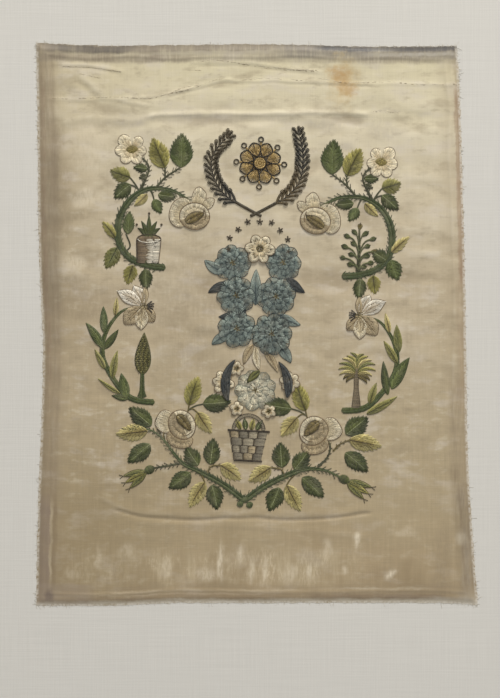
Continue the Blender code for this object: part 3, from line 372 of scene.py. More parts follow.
POT_BLADES = ((138, 11), (114, 13.5), (90, 16.5), (65, 13.5), (42, 11))
POT_KNOTS_MM = ((0, 18.2), (-8.6, 10.2), (8.8, 10.4))
SPIKE_BASE_MM = np.array((-74, -51))
SPIKE_HEIGHT_MM = 46.0
SPIKE_HEAD_WIDTH_MM = 12.0
SPRIG_BASE_MM = np.array((73, 43.5))
SPRIG_HEIGHT_MM = 31.0
Twig = namedtuple("Twig", "foot_mm tip_x_mm tip_y_mm")
SPRIG_TWIGS = tuple(map(Twig._make, (
    (3, -11.5, 10), (2, -5.5, 5.5), (2.5, 8.2, 7.5), (5, 5.2, 12), (8, -9.4, 17.5), (9, 10.2, 15.5),
    (8, -5.4, 12.5), (12, -3.8, 20), (12, 5.8, 19), (15, -8.2, 25), (15, 9.2, 24), (19, -3.2, 28),
    (19, 3.6, 27), (1, 3.6, 4.4),
)))
TUFT_BASE_MM = np.array((75.5, -51))
TUFT_TRUNK_MM = 24.0
TUFT_FRONDS = 9

# The view, from straight above
VIEW_HEIGHT = 0.4886
VIEW_CENTRE = (-0.0049, -0.0175)
CAMERA_HEIGHT = 1.6
SENSOR_MM = 36.0


def smooth_curve(points, samples):
    """A smooth curve through the points, sampled evenly along its length."""
    points = np.asarray(points, float)
    ends = np.vstack((2 * points[0] - points[1], points, 2 * points[-1] - points[-2]))
    place = np.linspace(0, len(points) - 1, 24 * len(points))
    span = np.minimum(place.astype(int), len(points) - 2)
    t = (place - span)[:, None]
    a, b, c, d = (ends[span + i] for i in range(4))
    curve = 0.5 * (2 * b + (c - a) * t + (2 * a - 5 * b + 4 * c - d) * t**2 + (3 * b - a - 3 * c + d) * t**3)
    travelled = np.append(0, np.cumsum(np.linalg.norm(np.diff(curve, axis=0), axis=1)))
    wanted = np.linspace(0, travelled[-1], samples)
    return np.column_stack([np.interp(wanted, travelled, curve[:, axis]) for axis in range(2)])


def bilinear(field, i, j, fu, fv):
    """A field's value at a share fu, fv of the way from cell i, j to the next."""
    low = field[i, j] * (1 - fu) + field[i + 1, j] * fu
    high = field[i, j + 1] * (1 - fu) + field[i + 1, j + 1] * fu
    return low * (1 - fv) + high * fv


def ripple(x, y, size_x, size_y, seed):
    """Smooth noise from -1 to 1 whose bumps are about size_x by size_y."""
    lattice = np.random.default_rng(seed).uniform(-1, 1, (RIPPLE_CELLS + 1, RIPPLE_CELLS + 1))
    u, v = x / size_x + RIPPLE_OFFSET, y / size_y + RIPPLE_OFFSET
    i, j = np.floor(u).astype(int), np.floor(v).astype(int)
    return bilinear(lattice, i % RIPPLE_CELLS, j % RIPPLE_CELLS, smoothstep(u - i), smoothstep(v - j))


def smoothstep(value):
    value = np.clip(value, 0, 1)
    return value * value * (3 - 2 * value)


def distance_to_path(x, y, path):
    """The distance from each point to the nearest place on an open path."""
    nearest = np.full(np.shape(x), np.inf)
    for a, b in zip(path[:-1], path[1:]):
        along = b - a
        share = np.clip(((x - a[0]) * along[0] + (y - a[1]) * along[1]) / along.dot(along), 0, 1)
        nearest = np.minimum(nearest, np.hypot(x - a[0] - share * along[0], y - a[1] - share * along[1]))
    return nearest


class Padding:
    """How the stitches lift and pucker the satin, from how closely they lie."""

    CELL = 1.0 * MM
    HALF_WIDTH, HALF_HEIGHT = 160, 205
    MOST_IN_A_CELL = 2.0
    LIFT, LIFT_CELLS = 0.45 * MM, 2.0
    SINK, SINK_CELLS = 0.30 * MM, 5.0

    def __init__(self):
        self.field = np.zeros((2 * self.HALF_WIDTH, 2 * self.HALF_HEIGHT))

    def gather(self, points):
        edges = [np.arange(-half, half + 1) * self.CELL for half in (self.HALF_WIDTH, self.HALF_HEIGHT)]
        laid = np.minimum(np.histogram2d(points[:, 0], points[:, 1], bins=edges)[0], self.MOST_IN_A_CELL)
        near = np.minimum(self.blurred(laid, self.LIFT_CELLS), 1.0)
        far = np.minimum(self.blurred(laid, self.SINK_CELLS), 1.0)
        self.field = self.LIFT * near - self.SINK * far

    @staticmethod
    def blurred(values, sigma):
        reach = np.arange(-round(3 * sigma), round(3 * sigma) + 1)
        kernel = np.exp(-reach * reach / (2 * sigma * sigma))
        kernel /= kernel.sum()
        for axis in range(2):
            values = np.apply_along_axis(np.convolve, axis, values, kernel, mode="same")
        return values

    def at(self, x, y):
        u, v = (np.clip(place / self.CELL + half - 0.5, 0, 2 * half - 1.001)
                for place, half in ((x, self.HALF_WIDTH), (y, self.HALF_HEIGHT)))
        i, j = np.floor(u).astype(int), np.floor(v).astype(int)
        return bilinear(self.field, i, j, u - i, v - j)


padding = Padding()


def cockle(x, y):
    """The satin's soft cockles, strongest in the upper part but for the head."""
    warp_x = x + COCKLE_WARP * ripple(x, y, 0.021, 0.016, 1)
    warp_y = y + COCKLE_WARP * ripple(x, y, 0.026, 0.019, 2)
    strength = 0.35 + 0.65 * smoothstep((y + 0.10) / 0.16)
    strength = strength * (1 - 0.45 * smoothstep((y - 0.150) / 0.012))
    return strength * sum(height * ripple(warp_x, warp_y, *size, seed) for height, size, seed in COCKLES)


def cloth_height(x, y):
    """How high the satin's face stands above the surface that it lies on, away from its rim."""
    height = CLOTH_TOP + cockle(x, y) + padding.at(x, y)
    wander = y + RIDGE_WANDER * ripple(x, y, 0.012, 0.012, 6)
    for ridge in RIDGES:
        path = smooth_curve(np.array(ridge.points_mm) * MM, 4 * len(ridge.points_mm))
        away = distance_to_path(x, wander, path) / (ridge.half_width_mm * MM)
        height += ridge.height_mm * MM * np.exp(-away * away)
    return np.maximum(height, LEAST_CLOTH_TOP)


class Outline:
    """The cloth's four edges, and where a place on the cloth lies between them."""

    def __init__(self):
        corners = np.array(CORNERS_MM) * MM
        self.edges = {}
        for index, name in enumerate(("top", "right", "bottom", "left")):
            start, end = corners[index], corners[(index + 1) % 4]
            along = (end - start) / np.linalg.norm(end - start)
            outward = np.array((-along[1], along[0]))
            knots = [start + (end - start) * b.share + outward * b.outward_mm * MM for b in EDGE_BOWS[name]]
            self.edges[name] = smooth_curve([start, *knots, end], 200)

    def edge(self, name, share):
        """Points at these shares along an edge, which runs to the right or upwards."""
        curve = self.edges[name]
        if name in ("right", "bottom"):
            curve = curve[::-1]
        places = np.linspace(0, 1, len(curve))
        return np.column_stack([np.interp(share, places, curve[:, axis]) for axis in range(2)])

    def grid(self, u, v):
        """The points at all columns u and rows v, and each one's distances from the four edges."""
        left, right = self.edge("left", v)[:, None], self.edge("right", v)[:, None]
        top, bottom = self.edge("top", u)[None], self.edge("bottom", u)[None]
        u, v = u[None, :, None], v[:, None, None]
        corners = (1 - u) * (1 - v) * bottom[:, :1] + u * (1 - v) * bottom[:, -1:]
        corners = corners + (1 - u) * v * top[:, :1] + u * v * top[:, -1:]
        points = (1 - v) * bottom + v * top + (1 - u) * left + u * right - corners
        edges = {"from_left": left, "from_right": right, "from_top": top, "from_bottom": bottom}
        return points, {name: np.linalg.norm(points - edge, axis=2) for name, edge in edges.items()}


def new_object(name, vertices, faces, smooth=True):
    mesh = bpy.data.meshes.new(name)
    mesh.from_pydata(vertices, [], faces)
    mesh.update()
    if smooth:
        mesh.shade_smooth()
    made = bpy.data.objects.new(name, mesh)
    bpy.context.scene.collection.objects.link(made)
    return made


def places(bands):
    """Places along a side as shares of it, from bands of from, to and pitch."""
    made = [np.arange(start, end, pitch) for start, end, pitch in bands]
    return np.append(np.concatenate(made), bands[-1][1]) / bands[-1][1]


# Marks on the silk and their half sizes: soiled brown, dulled to grey, or bared to the pale weft. Along the
# folds under the long crease at the head, the grey marks are painted shade and a thin pale band is painted
# highlight
MARK_COLOURS = {"soiled": srgb(150, 133, 106), "dulled": srgb(183, 172, 154), "bared": srgb(228, 214, 186)}
Mark = namedtuple("Mark", "x_mm y_mm half_x_mm half_y_mm share")
MARKS = {
    "soiled": (
        (-48, 8, 28, 60, 0.26),
        (130, -163, 6.5, 26, 0.40),
        (-136, 87, 7.0, 36, 0.46),
        (-124, 76, 14, 5.0, 0.40),
        (-131, 32, 14, 4.5, 0.46),
        (-120, 13, 24, 15, 0.36),
        (-139, 129, 5.0, 14, 0.40),
        (129, -182, 9.0, 9.0, 0.45),
    ),
    # All but the last lie along the folds under the long crease ridge: painted shade
    "dulled": (
        (-40, 143.5, 34, 4.5, 0.36),
        (6, 143, 30, 3.5, 0.36),
        (52, 140, 20, 5.5, 0.42),
        (90, 135.5, 16, 7.5, 0.36),
        (90, 148.4, 13, 2.0, 0.36),
        (-90, 142.8, 18, 4.5, 0.32),
        (-78, 131, 14, 5.0, 0.32),
        (147, -170, 4.5, 24, 0.45),
    ),
    # The first, a thin band on the fold below the crease ridge, is painted highlight
    "bared": (
        (-12, 137, 24, 3.0, 0.36),
        (-120, 88, 12, 7.0, 0.60),
        (-127, 43.5, 9.0, 5.0, 0.55),
        (-103, 41, 12, 5.0, 0.34),
        (-117, 124, 16, 22, 0.38),
        (143, -150, 4.0, 3.0, 0.50),
        (-25.2, -167.3, 2.2, 14, 0.75),
        (-11.9, -160.3, 2.0, 8.0, 0.62),
        (-3.5, -172.2, 2.2, 9.5, 0.62),
        (5.6, -173.6, 2.0, 10, 0.62),
        (23, -175.0, 4.5, 6.5, 0.40),
        (36.4, -174.3, 2.2, 6.0, 0.62),
        (49, -157, 3.6, 7.0, 0.36),
        (61.6, -172.2, 2.4, 4.0, 0.52),
        (70, -151.2, 2.0, 5.0, 0.90),
        (93, -174.3, 4.4, 2.4, 0.90),
        (103, -145, 10, 2.4, 0.30),
        (-35, -175.7, 9.0, 5.5, 0.44),
        (-64, -171, 5.0, 8.0, 0.32),
        (-91, -159, 7.0, 5.0, 0.30),
        (-111, -165, 2.2, 9.0, 0.32),
        (-129, -175, 6.0, 4.0, 0.26),
    ),
}


def marked(x, y, kind):
    """How strongly the silk is marked in one of these ways at each place."""
    strength = np.zeros(x.shape)
    wander_x = x / MM + 1.2 * ripple(x, y, 0.006, 0.006, 11)
    wander_y = y / MM + 2.4 * ripple(x, y, 0.007, 0.007, 12)
    for mark in map(Mark._make, MARKS[kind]):
        away = np.hypot((wander_x - mark.x_mm) / mark.half_x_mm, (wander_y - mark.y_mm) / mark.half_y_mm)
        strength = np.maximum(strength, mark.share * smoothstep(1.35 - away))
    return strength


def satin_sheet():
    """The cloth as one closed sheet, with its creased face up and its flat underside on the surface."""
    points, fields = Outline().grid(places(COLUMN_BANDS_MM), places(ROW_BANDS_MM))
    x, y = points[:, :, 0], points[:, :, 1]
    from_rim = np.minimum.reduce(list(fields.values()))
    height = RIM_TOP + (cloth_height(x, y) - RIM_TOP) * smoothstep(from_rim / RIM_SLOPE)
    from_fold = from_rim - OLD_FOLD_INSET - OLD_FOLD_WANDER * ripple(x, y, 0.03, 0.03, 7)
    height = height + OLD_FOLD_HEIGHT * np.exp(-((from_fold / OLD_FOLD_HALF_WIDTH) ** 2))
    fray = RIM_FRAY * ripple(x, y, 0.0022, 0.0022, 8) * (from_rim < 1e-6)
    x = x + fray * np.sign(x) * (fields["from_left"] * fields["from_right"] < 1e-9)
    y = y + fray * np.sign(y) * (fields["from_top"] * fields["from_bottom"] < 1e-9)

    count_v, count_u = x.shape
    index = np.arange(count_v * count_u).reshape(count_v, count_u)
    quads = np.stack((index[:-1, :-1], index[:-1, 1:], index[1:, 1:], index[1:, :-1]), axis=-1).reshape(-1, 4)
    rim = np.concatenate((index[0, :-1], index[:-1, -1], index[-1, :0:-1], index[:0:-1, 0]))
    under = np.arange(len(rim)) + index.size
    walls = np.stack((rim, under, np.roll(under, -1), np.roll(rim, -1)), axis=-1)
    top = np.column_stack((x.ravel(), y.ravel(), height.ravel()))
    foot = top[rim] * (1, 1, 0)
    faces = quads.tolist() + walls.tolist() + [under[::-1].tolist()]
    sheet = new_object("satin_sheet", np.vstack((top, foot)).tolist(), faces)
    pairs = np.empty(2 * len(sheet.data.edges), np.int32)
    sheet.data.edges.foreach_get("vertices", pairs)
    sheet.data.edges.foreach_set("use_edge_sharp", np.isin(pairs.reshape(-1, 2), rim).all(axis=1))
    fields["relief"] = (height - CLOTH_TOP) / MM
    fields.update((kind, marked(x, y, kind)) for kind in MARKS)
    for name, values in fields.items():
        attribute = sheet.data.attributes.new(name, "FLOAT", "POINT")
        attribute.data.foreach_set("value", np.append(values.ravel(), values.ravel()[rim]))
    return sheet


class Needle:
    """Gathers stitches, which are given in the embroidery's frame in millimetres, by piece."""

    SEED = 20
    DRIFT_KEPT, DRIFT_STEP, TONE_SPREAD = 0.5, 0.10, 0.11
    OVERLAP = 0.12
    SLANT = 0.18

    def __init__(self):
        self.pieces = {}
        self.side = 1
        self.lift = 0.0
        self.drift = 0.0
        self.random = np.random.default_rng(self.SEED)

    def stitch(self, piece, start, end, colour, width=FLOSS_MM, end_colour=None, lift=0.0, tight=1.0):
        """One thread from start to end. tight under 1 lets it stand higher, and lift raises all of it."""
        self.drift = self.DRIFT_KEPT * self.drift + self.random.normal(0, self.DRIFT_STEP)
        tone = math.exp(self.drift + self.random.normal(0, self.TONE_SPREAD))
        first = np.asarray(colour) * tone
        last = first if end_colour is None else np.asarray(end_colour) * tone
        reach = self.side
        if self.side < 0:
            reach = -np.interp((start[1], end[1]), RIGHT_HEIGHTS_MM, RIGHT_STRETCH)
        first_x, last_x = np.array((start[0], end[0])) * reach
        row = (first_x, start[1], last_x, end[1], width, lift + self.lift, tight, *first, *last)
        self.pieces.setdefault(piece, []).append(row)

    def fill(self, piece, rail_a, rail_b, dye, width=FLOSS_MM, teeth=None, lift=0.0, tight=1.0, split=0.0):
        """Satin stitch from one rail to the other. Stitches that are longer than split are worked as two."""
        for i, (start, end) in enumerate(zip(rail_a, rail_b)):
            if teeth is not None:
                end = end + (end - start) / max(np.linalg.norm(end - start), 0.3) * teeth[i]
            if split and np.linalg.norm(end - start) > split:
                middle = start + (end - start) * self.random.uniform(0.34, 0.66)
                half = (dye.inner + dye.outer) / 2
                self.stitch(piece, start, middle, dye.inner, width, half, lift, tight)
                self.stitch(piece, middle, end, half, width, dye.outer, lift, tight)
            else:
                self.stitch(piece, start, end, dye.inner, width, dye.outer, lift, tight)

    def line(self, piece, path, colour, width=FINE_MM, step=1.5, lift=0.12, closed=False):
        """Stem stitch along a path: short slanted stitches that overlap like the strands of a rope."""
        path = np.asarray(path, float)
        if closed:
            path = np.vstack((path, path[:1]))
        travelled = np.append(0, np.cumsum(np.linalg.norm(np.diff(path, axis=0), axis=1)))
        count = max(1, round(travelled[-1] / step))
        for i in range(count):
            reach = np.array((i - self.OVERLAP, i + 1 + self.OVERLAP)) / count * travelled[-1]
            ends = np.column_stack([np.interp(reach, travelled, path[:, axis]) for axis in range(2)])
            along = ends[1] - ends[0]
            slant = np.array((-along[1], along[0])) / max(np.linalg.norm(along), 1e-6) * width * self.SLANT
            self.stitch(piece, ends[0] + slant, ends[1] - slant, colour, width, None, lift)

    def knot(self, piece, centre, colour, size, lift):
        """A French knot: two short fat stitches across each other."""
        turn = self.random.uniform(0, pi)
        for reach in (heading(turn) * size / 2, heading(turn + 1.6) * size / 2):
            self.stitch(piece, centre - reach, centre + reach, colour, size * 0.72, None, lift, 0.5)


def heading(angle):
    """A unit vector, or one for each of several angles."""
    return np.stack((np.cos(angle), np.sin(angle)), axis=-1)


def normals(path):
    """Unit vectors to the left of a path at each of its points."""
    along = np.gradient(path, axis=0)
    along /= np.linalg.norm(along, axis=1)[:, None]
    return np.column_stack((-along[:, 1], along[:, 0]))


def at_shares(path, shares):
    places = np.linspace(0, 1, len(path))
    return np.column_stack([np.interp(shares, places, path[:, axis]) for axis in range(2)])


def ellipse(centre, half_length, half_width, angle, samples=48):
    turns = np.linspace(0, 2 * pi, samples, endpoint=False)
    along, across = heading(angle), heading(angle + pi / 2)
    return centre + np.outer(np.cos(turns), along) * half_length + np.outer(np.sin(turns),
                                                                            across) * half_width


def bent_rib(base, angle, length, bend=0.0, samples=41):
    """A leaf's rib, which turns by the bend between its base and its tip."""
    turns = angle + bend * np.linspace(-0.5, 0.5, samples)
    steps = heading(turns) * length / (samples - 1)
    return base + np.vstack((np.zeros(2), np.cumsum((steps[1:] + steps[:-1]) / 2, axis=0)))


def half_widths(shares, width, belly, keen=0.85):
    """Half of a leaf's width along its rib. A larger keen makes its ends more pointed."""
    power = math.log(0.5) / math.log(belly)
    return width / 2 * np.sin(pi * np.clip(shares, 0, 1) ** power) ** keen


def shaded(dye, tone):
    return Dye(dye.inner * tone, dye.outer * tone, dye.line)


def sawtooth(ends, teeth, depth_mm):
    """How far each stitch runs past a leaf's edge, for so many teeth along it."""
    return depth_mm * ((ends * teeth) % 1.0) ** 1.4 * (ends < 0.985)


def rim_of(rib, width, belly, samples=24, first=0.02, keen=0.85):
    """The outline of a leaf or petal about its rib."""
    shares = np.linspace(first, 1, samples)
    halves = half_widths(shares, width, belly, keen)[:, None]
    spine, sides = at_shares(rib, shares), at_shares(normals(rib), shares)
    return np.vstack((spine + sides * halves, (spine - sides * halves)[::-1]))


def leaf(needle, piece, rib, width, dye, belly=0.42, slant=0.24, teeth=0, pitch=PITCH_MM, rib_line=True,
         painted_light_contrast=0.12,
         keen=0.85):
    """A leaf in two halves of slanted satin stitch that meet along its rib. The half that faces up the panel,
    towards the key light, is paler: painted light.
    """
    length = np.linalg.norm(np.diff(rib, axis=0), axis=1).sum()
    sides = normals(rib)
    count = max(6, round(0.86 * length / pitch))
    for side in (-1, 1):
        ends = np.linspace(0.02, 1.0, count)
        starts = np.clip(ends - slant, 0, 1)
        halves = half_widths(ends, width, belly, keen)[:, None]
        edge = at_shares(rib, ends) + side * at_shares(sides, ends) * halves
        tooth = sawtooth(ends, teeth, 1.5) if teeth else None
        # The half facing up the panel is made paler and the other darker: painted light
        facing = side * sides[len(sides) // 2][1]
        needle.fill(piece, at_shares(rib, starts), edge, shaded(dye, 1 + painted_light_contrast * facing), teeth=tooth,
                    split=6.5)
    if rib_line:
        needle.line(piece, at_shares(rib, np.linspace(0.0, 0.88, 24)), dye.line, FINE_MM + 0.16, 1.8, 0.25)


def table_leaf(needle, row):
    """A leaf from the table, a little off its size, as no two worked by hand are the same."""
    angle = radians(row.angle_deg + needle.random.normal(0, 1.5))
    length = row.length_mm * needle.random.uniform(0.97, 1.04)
    bend = radians(needle.random.uniform(-14, 14))
    rib = bent_rib(np.array((row.x_mm, row.y_mm)), angle, length, bend)
    golden = any(row.dye is dye for dye in (GOLD_GREEN, PALE_GOLD, DULL_GOLD))
    # How much paler the upward half is: painted light
    painted_light_contrast = 0.24 if golden else needle.random.uniform(0.02, 0.30)
    has_line = golden or (row.teeth > 0 and row.dye is not TWIG_GREEN)
    leaf(needle, "leaf_stitches", rib, row.width_mm, row.dye, slant=0.24 if row.teeth else 0.36,
         teeth=row.teeth,
         rib_line=has_line, painted_light_contrast=painted_light_contrast)


def stem(needle, row):
    """A stem in herringbone from its middle seam, or in slanted stitches where it is thin, with thorns."""
    samples = 160
    path = smooth_curve(row.points_mm, samples)
    length = np.linalg.norm(np.diff(path, axis=0), axis=1).sum()
    sides, shares = normals(path), np.linspace(0, 1, samples)
    widths = np.interp(shares * (len(row.widths_mm) - 1), range(len(row.widths_mm)), row.widths_mm)
    forward = STEM_SLANT_MM / length * (-1 if row.widths_mm[-1] > row.widths_mm[0] else 1)
    inner, outer = row.dye.inner, row.dye.outer
    for share in np.linspace(0, 1, round(length / STEM_PITCH_MM)):
        here = np.array((share, np.clip(share + forward, 0, 1)))
        middle, side = at_shares(path, here), at_shares(sides, here)
        half = np.interp(here, shares, widths)[:, None] / 2
        if half[0, 0] > THIN_STEM_HALF_MM:
            reach = side * half * needle.random.uniform(0.9, 1.12 if row.thorn_mm else 1.02)
            needle.stitch("stem_stitches", middle[0], (middle + reach)[1], inner * 0.8, end_colour=outer)
            needle.stitch("stem_stitches", middle[0], (middle - reach)[1], outer * 1.15,
                          end_colour=outer * 0.9)
        else:
            start, end = (middle - side * half)[0], (middle + side * half)[1]
            needle.stitch("stem_stitches", start, end, outer, end_colour=inner)
    thorns = round(length / THORN_PITCH_MM) if row.thorn_mm else 0
    for i in range(thorns):
        share = (i + needle.random.uniform(0.2, 0.8)) / thorns
        here, normal = at_shares(path, [share])[0], at_shares(sides, [share])[0] * (1 if i % 2 else -1)
        along = (at_shares(path, [min(1, share + 0.01)]) - at_shares(path, [max(0, share - 0.01)]))[0]
        along *= np.sign(forward) / np.linalg.norm(along)
        edge = here + normal * np.interp(share, shares, widths) * 0.3
        tip = edge + (normal * 0.8 + along) * row.thorn_mm * needle.random.uniform(0.7, 1.45)
        needle.stitch("stem_stitches", edge, tip, outer, 0.46, row.dye.line, 0.1)


def petal_fill(needle, piece, centre, half_length, half_width, angle, dye, foot):
    """An oval petal in satin stitch across its narrow way, from the side nearest its foot."""
    count = max(4, round(2 * half_length / PITCH_MM))
    turns = np.arccos(np.linspace(0.97, -0.97, count))
    along, across = heading(angle), heading(angle + pi / 2)
    if across.dot(foot - centre) > 0:
        across = -across
    spine = centre + np.outer(np.cos(turns), along) * half_length
    reach = np.outer(np.sin(turns), across) * half_width
    needle.fill(piece, spine - reach, spine + reach, dye, split=7.5)


def seed_stitches(needle, rim, centre, colour, count, least, most, width=0.3):
    """Short dark stitches just inside an outline, which shade it."""
    for i in range(count):
        place = rim[round(i * len(rim) / count) % len(rim)]
        inward = (centre - place) / max(np.linalg.norm(centre - place), 1e-6)
        start = place + inward * needle.random.uniform(0.5, 0.9)
        end = start + inward * needle.random.uniform(least, most)
        needle.stitch("outline_stitches", start, end, colour, width, None, 0.35)


def arc_petal(needle, centre, radii, lean, petal, index):
    """An outer petal of a rose, which opens from the cup's rim."""
    shares = np.linspace(0, 1, max(8, round(radians(petal.to_deg - petal.from_deg) * 15 / 0.5)))
    turns = np.radians(petal.from_deg) + shares * radians(petal.to_deg - petal.from_deg)
    own = turns - lean
    rim = radii[0] * radii[1] / np.hypot(radii[1] * np.cos(own), radii[0] * np.sin(own))
    frill = 1 + 0.06 * np.sin(shares * (9 + 2 * index) + index)
    depth = petal.depth_mm * np.sin(pi * np.clip(shares, 0.02, 0.98)) ** 0.42 * frill
    inner = centre + heading(turns) * (rim * 0.97)[:, None]
    outer = centre + heading(turns) * (rim + depth)[:, None]
    needle.fill("flower_stitches", inner, outer, petal.dye, split=5.0)
    needle.line("outline_stitches", np.vstack((inner[:1], outer, inner[-1:])), petal.dye.line, 0.5)
    seed_stitches(needle, outer, centre, petal.dye.line * 1.35, round(len(outer) / 2.2), 0.6, 1.4)
    middle = (inner + outer) / 2
    seed_stitches(needle, middle, centre, petal.dye.line * 1.9, round(len(outer) / 3.5), 0.6, 1.2)


def side_rose(needle, rose):
    """A rose from its side: outer petals, then the cup over them and its long eye."""
    centre, lean = np.array((rose.x_mm, rose.y_mm)), radians(rose.lean_deg)
    for index, petal in enumerate(rose.petals):
        arc_petal(needle, centre, ROSE_CUP_MM, lean, petal, index)
    cup, core = (ellipse(centre, *radii, lean, ROSE_STITCHES) for radii in (ROSE_CUP_MM, ROSE_CORE_MM))
    turns = np.linspace(0, 2 * pi, ROSE_STITCHES, endpoint=False)
    bright = np.cos(turns - radians(rose.eye_deg + 75) + lean)
    for i in range(ROSE_STITCHES):
        dye = CREAM if bright[i] > -0.1 else TAN
        half = (dye.inner + dye.outer) / 2
        middle = core[i] + (cup[i] - core[i]) * needle.random.uniform(0.4, 0.6)
        needle.stitch("flower_stitches", core[i], middle, dye.inner, FLOSS_MM, half, 0.1)
        needle.stitch("flower_stitches", middle, cup[i], half, FLOSS_MM, dye.outer, 0.1)
    needle.line("outline_stitches", cup, CREAM.line, 0.55, closed=True, lift=0.25)
    seed_stitches(needle, cup, centre, CREAM.line * 1.5, 30, 0.7, 1.5, 0.28)
    seed_stitches(needle, centre + (cup - centre) * 0.78, centre, CREAM.line * 2.2, 16, 0.5, 1.0, 0.24)
    needle.lift = 0.55
    eye = radians(rose.eye_deg)
    length, width = ROSE_EYE_MM
    aside = centre + heading(eye + pi / 2) * rose.eye_aside_mm
    rib = bent_rib(aside - heading(eye) * length * 0.5, eye, length, radians(-20))
    shape = {"belly": 0.4, "keen": 0.6}
    leaf(needle, "outline_stitches", rib, width, EYE_BROWN, slant=0.1, rib_line=False, painted_light_contrast=0, **shape)
    needle.line("outline_stitches", rim_of(rib, width + 0.4, **shape), UMBER.line, 0.34, closed=True,
                lift=0.2)
    for i in range(ROSE_EYE_SPECKS):
        along, across = needle.random.uniform(-0.42, 0.36) * length, needle.random.uniform(-0.32,
                                                                                           0.32) * width
        speck = aside + heading(eye) * along + heading(eye + pi / 2) * across
        dark = UMBER.line if i % 2 else EYE_BROWN.outer * 1.5
        needle.stitch("outline_stitches", speck, speck + heading(eye + 0.8) * 0.9, dark, 0.34, None, 0.4)
    curl = [centre + heading(eye + turn) * reach for turn, reach in ((0.25, 8.6), (-0.25, 8.2), (-0.7, 7.6))]
    curl = smooth_curve([rib[24], rib[-1] + heading(eye + 0.9) * 1.6, *curl], 16)
    needle.line("outline_stitches", curl, CREAM.line, 0.42, lift=0.2)
    needle.lift = 0.0


def round_petals(needle, piece, centre, petals, hub_mm, dye, outline_mm=0.5, lift=0.0, spread=0.9):
    """A ring of rounded petals worked outwards, each given by its angle and reach, with outlines."""
    angles = sorted(radians(angle % 360) for angle, _ in petals)
    reaches = {radians(angle % 360): reach for angle, reach in petals}
    for i, angle in enumerate(angles):
        after = angles[(i + 1) % len(angles)] + (2 * pi if i == len(angles) - 1 else 0)
        before = angles[i - 1] - (2 * pi if i == 0 else 0)
        half = min(0.52, spread * max(after - angle, angle - before) / 2 + 0.03)
        reach = reaches[angle]
        count = max(7, round(2 * half * reach * 0.8 / 0.5))
        shares = np.linspace(0, 1, count)
        turns = angle + (2 * shares - 1) * half
        profile = 0.64 + 0.36 * np.sin(pi * np.clip(shares, 0.03, 0.97)) ** 0.6
        inner, outer = centre + heading(turns) * hub_mm, centre + heading(turns) * (reach * profile)[:, None]
        tone = shaded(dye, needle.random.uniform(0.9, 1.08))
        needle.fill(piece, inner, outer, tone, lift=lift, tight=0.8, split=6.0)
        sides = [rail[0] + (rail[1] - rail[0]) * 0.55 for rail in ((inner[0], outer[0]),
                                                                   (inner[-1], outer[-1]))]
        needle.line("outline_stitches", np.vstack((sides[:1], outer, sides[1:])), dye.line, outline_mm,
                    lift=lift + 0.15)
        for turn in (-0.45, 0.0, 0.45):
            vein = heading(angle + turn * half)
            ends = (centre + vein * hub_mm * 1.1, centre + vein * (hub_mm + (reach - hub_mm) * 0.5))
            needle.stitch("outline_stitches", *ends, dye.line * 2.7, 0.22, None, lift + 0.3)


def flower_eye(needle, piece, centre, radius, dye):
    """Close knots in the middle of a flower."""
    knots = max(5, round(radius * radius * 1.7))
    for i in range(knots):
        reach = radius * math.sqrt((i + 0.5) / knots)
        place = centre + heading(i * 2.4) * reach
        needle.knot(piece, place, dye.inner if i % 3 else dye.outer, 1.15, 0.3)


def dog_rose(needle):
    place = DOG_ROSE_MM - (0, 1.6 * (needle.side < 0))
    round_petals(needle, "flower_stitches", place, DOG_ROSE_PETALS, 2.6, shaded(CREAM, 1.2), 0.36, spread=1.0)
    needle.lift = 0.35
    petal_fill(needle, "flower_stitches", place, 4.3, 2.9, 0.1, EYE_GOLD, place - (0, 1))
    flower_eye(needle, "flower_stitches", place, 2.6, EYE_GOLD)
    needle.lift = 0.0


def lily(needle):
    for petal in LILY_PETALS:
        if petal.dye is LILY_WHITE and needle.side < 0:
            petal = petal._replace(dye=shaded(LILY_WHITE, 0.86))
        rib = bent_rib(LILY_MM, radians(petal.angle_deg), petal.length_mm, radians(14))
        keen = 1.15 if 90 < petal.angle_deg < 180 else 0.85
        leaf(needle, "flower_stitches", rib, petal.width_mm, petal.dye, belly=0.56, slant=0.42,
             rib_line=False, keen=keen)
        rim = rim_of(rib, petal.width_mm, 0.56, keen=keen)
        needle.line("outline_stitches", rim, petal.dye.line, 0.38, lift=0.2)
        for offset in (-0.5, 0, 0.5):
            reach = np.linspace(0.12, 0.62 if offset else 0.8, 8)
            vein = at_shares(rib, reach) + offset * at_shares(normals(rib), reach) * half_widths(
                reach, petal.width_mm, 0.56)[:, None]
            needle.line("outline_stitches", vein, petal.dye.line * 1.25, 0.28, lift=0.4)
    flower_eye(needle, "outline_stitches", LILY_MM + (0.5, 0), 3.0, UMBER)
    for spread in np.radians((-38, -18, 2, 20, 40)):
        tip = LILY_MM + (1.5, 0) + heading(spread) * needle.random.uniform(5.8, 7.2)
        needle.line("outline_stitches", [LILY_MM + (1.5, 0) + heading(spread) * 1.6, tip], PURL.line,
                    0.75, lift=0.4)


def bud(needle):
    for spread in np.radians((-17, 17, 0)):
        foot = BUD_MM + heading(BUD_ANGLE) * 3.2
        rib = bent_rib(foot, BUD_ANGLE + spread, 16.5, spread * -0.6)
        leaf(needle, "leaf_stitches", rib, 4.6, OLIVE_GREEN if spread else GOLD_GREEN, belly=0.4, slant=0.42)
        needle.line("outline_stitches", rim_of(rib, 4.8, 0.4), GOLD_GREEN.line, 0.4)
        for hook in (-0.5, 0.5):
            tip = rib[-1] + heading(BUD_ANGLE + spread + hook) * 3.0
            needle.line("outline_stitches", [rib[-5], rib[-1], tip], GOLD_GREEN.line, 0.4)
    hip = BUD_MM + heading(BUD_ANGLE) * 0.5
    petal_fill(needle, "leaf_stitches", hip, 3.6, 3.2, BUD_ANGLE, DEEP_GREEN, BUD_MM + heading(BUD_ANGLE))


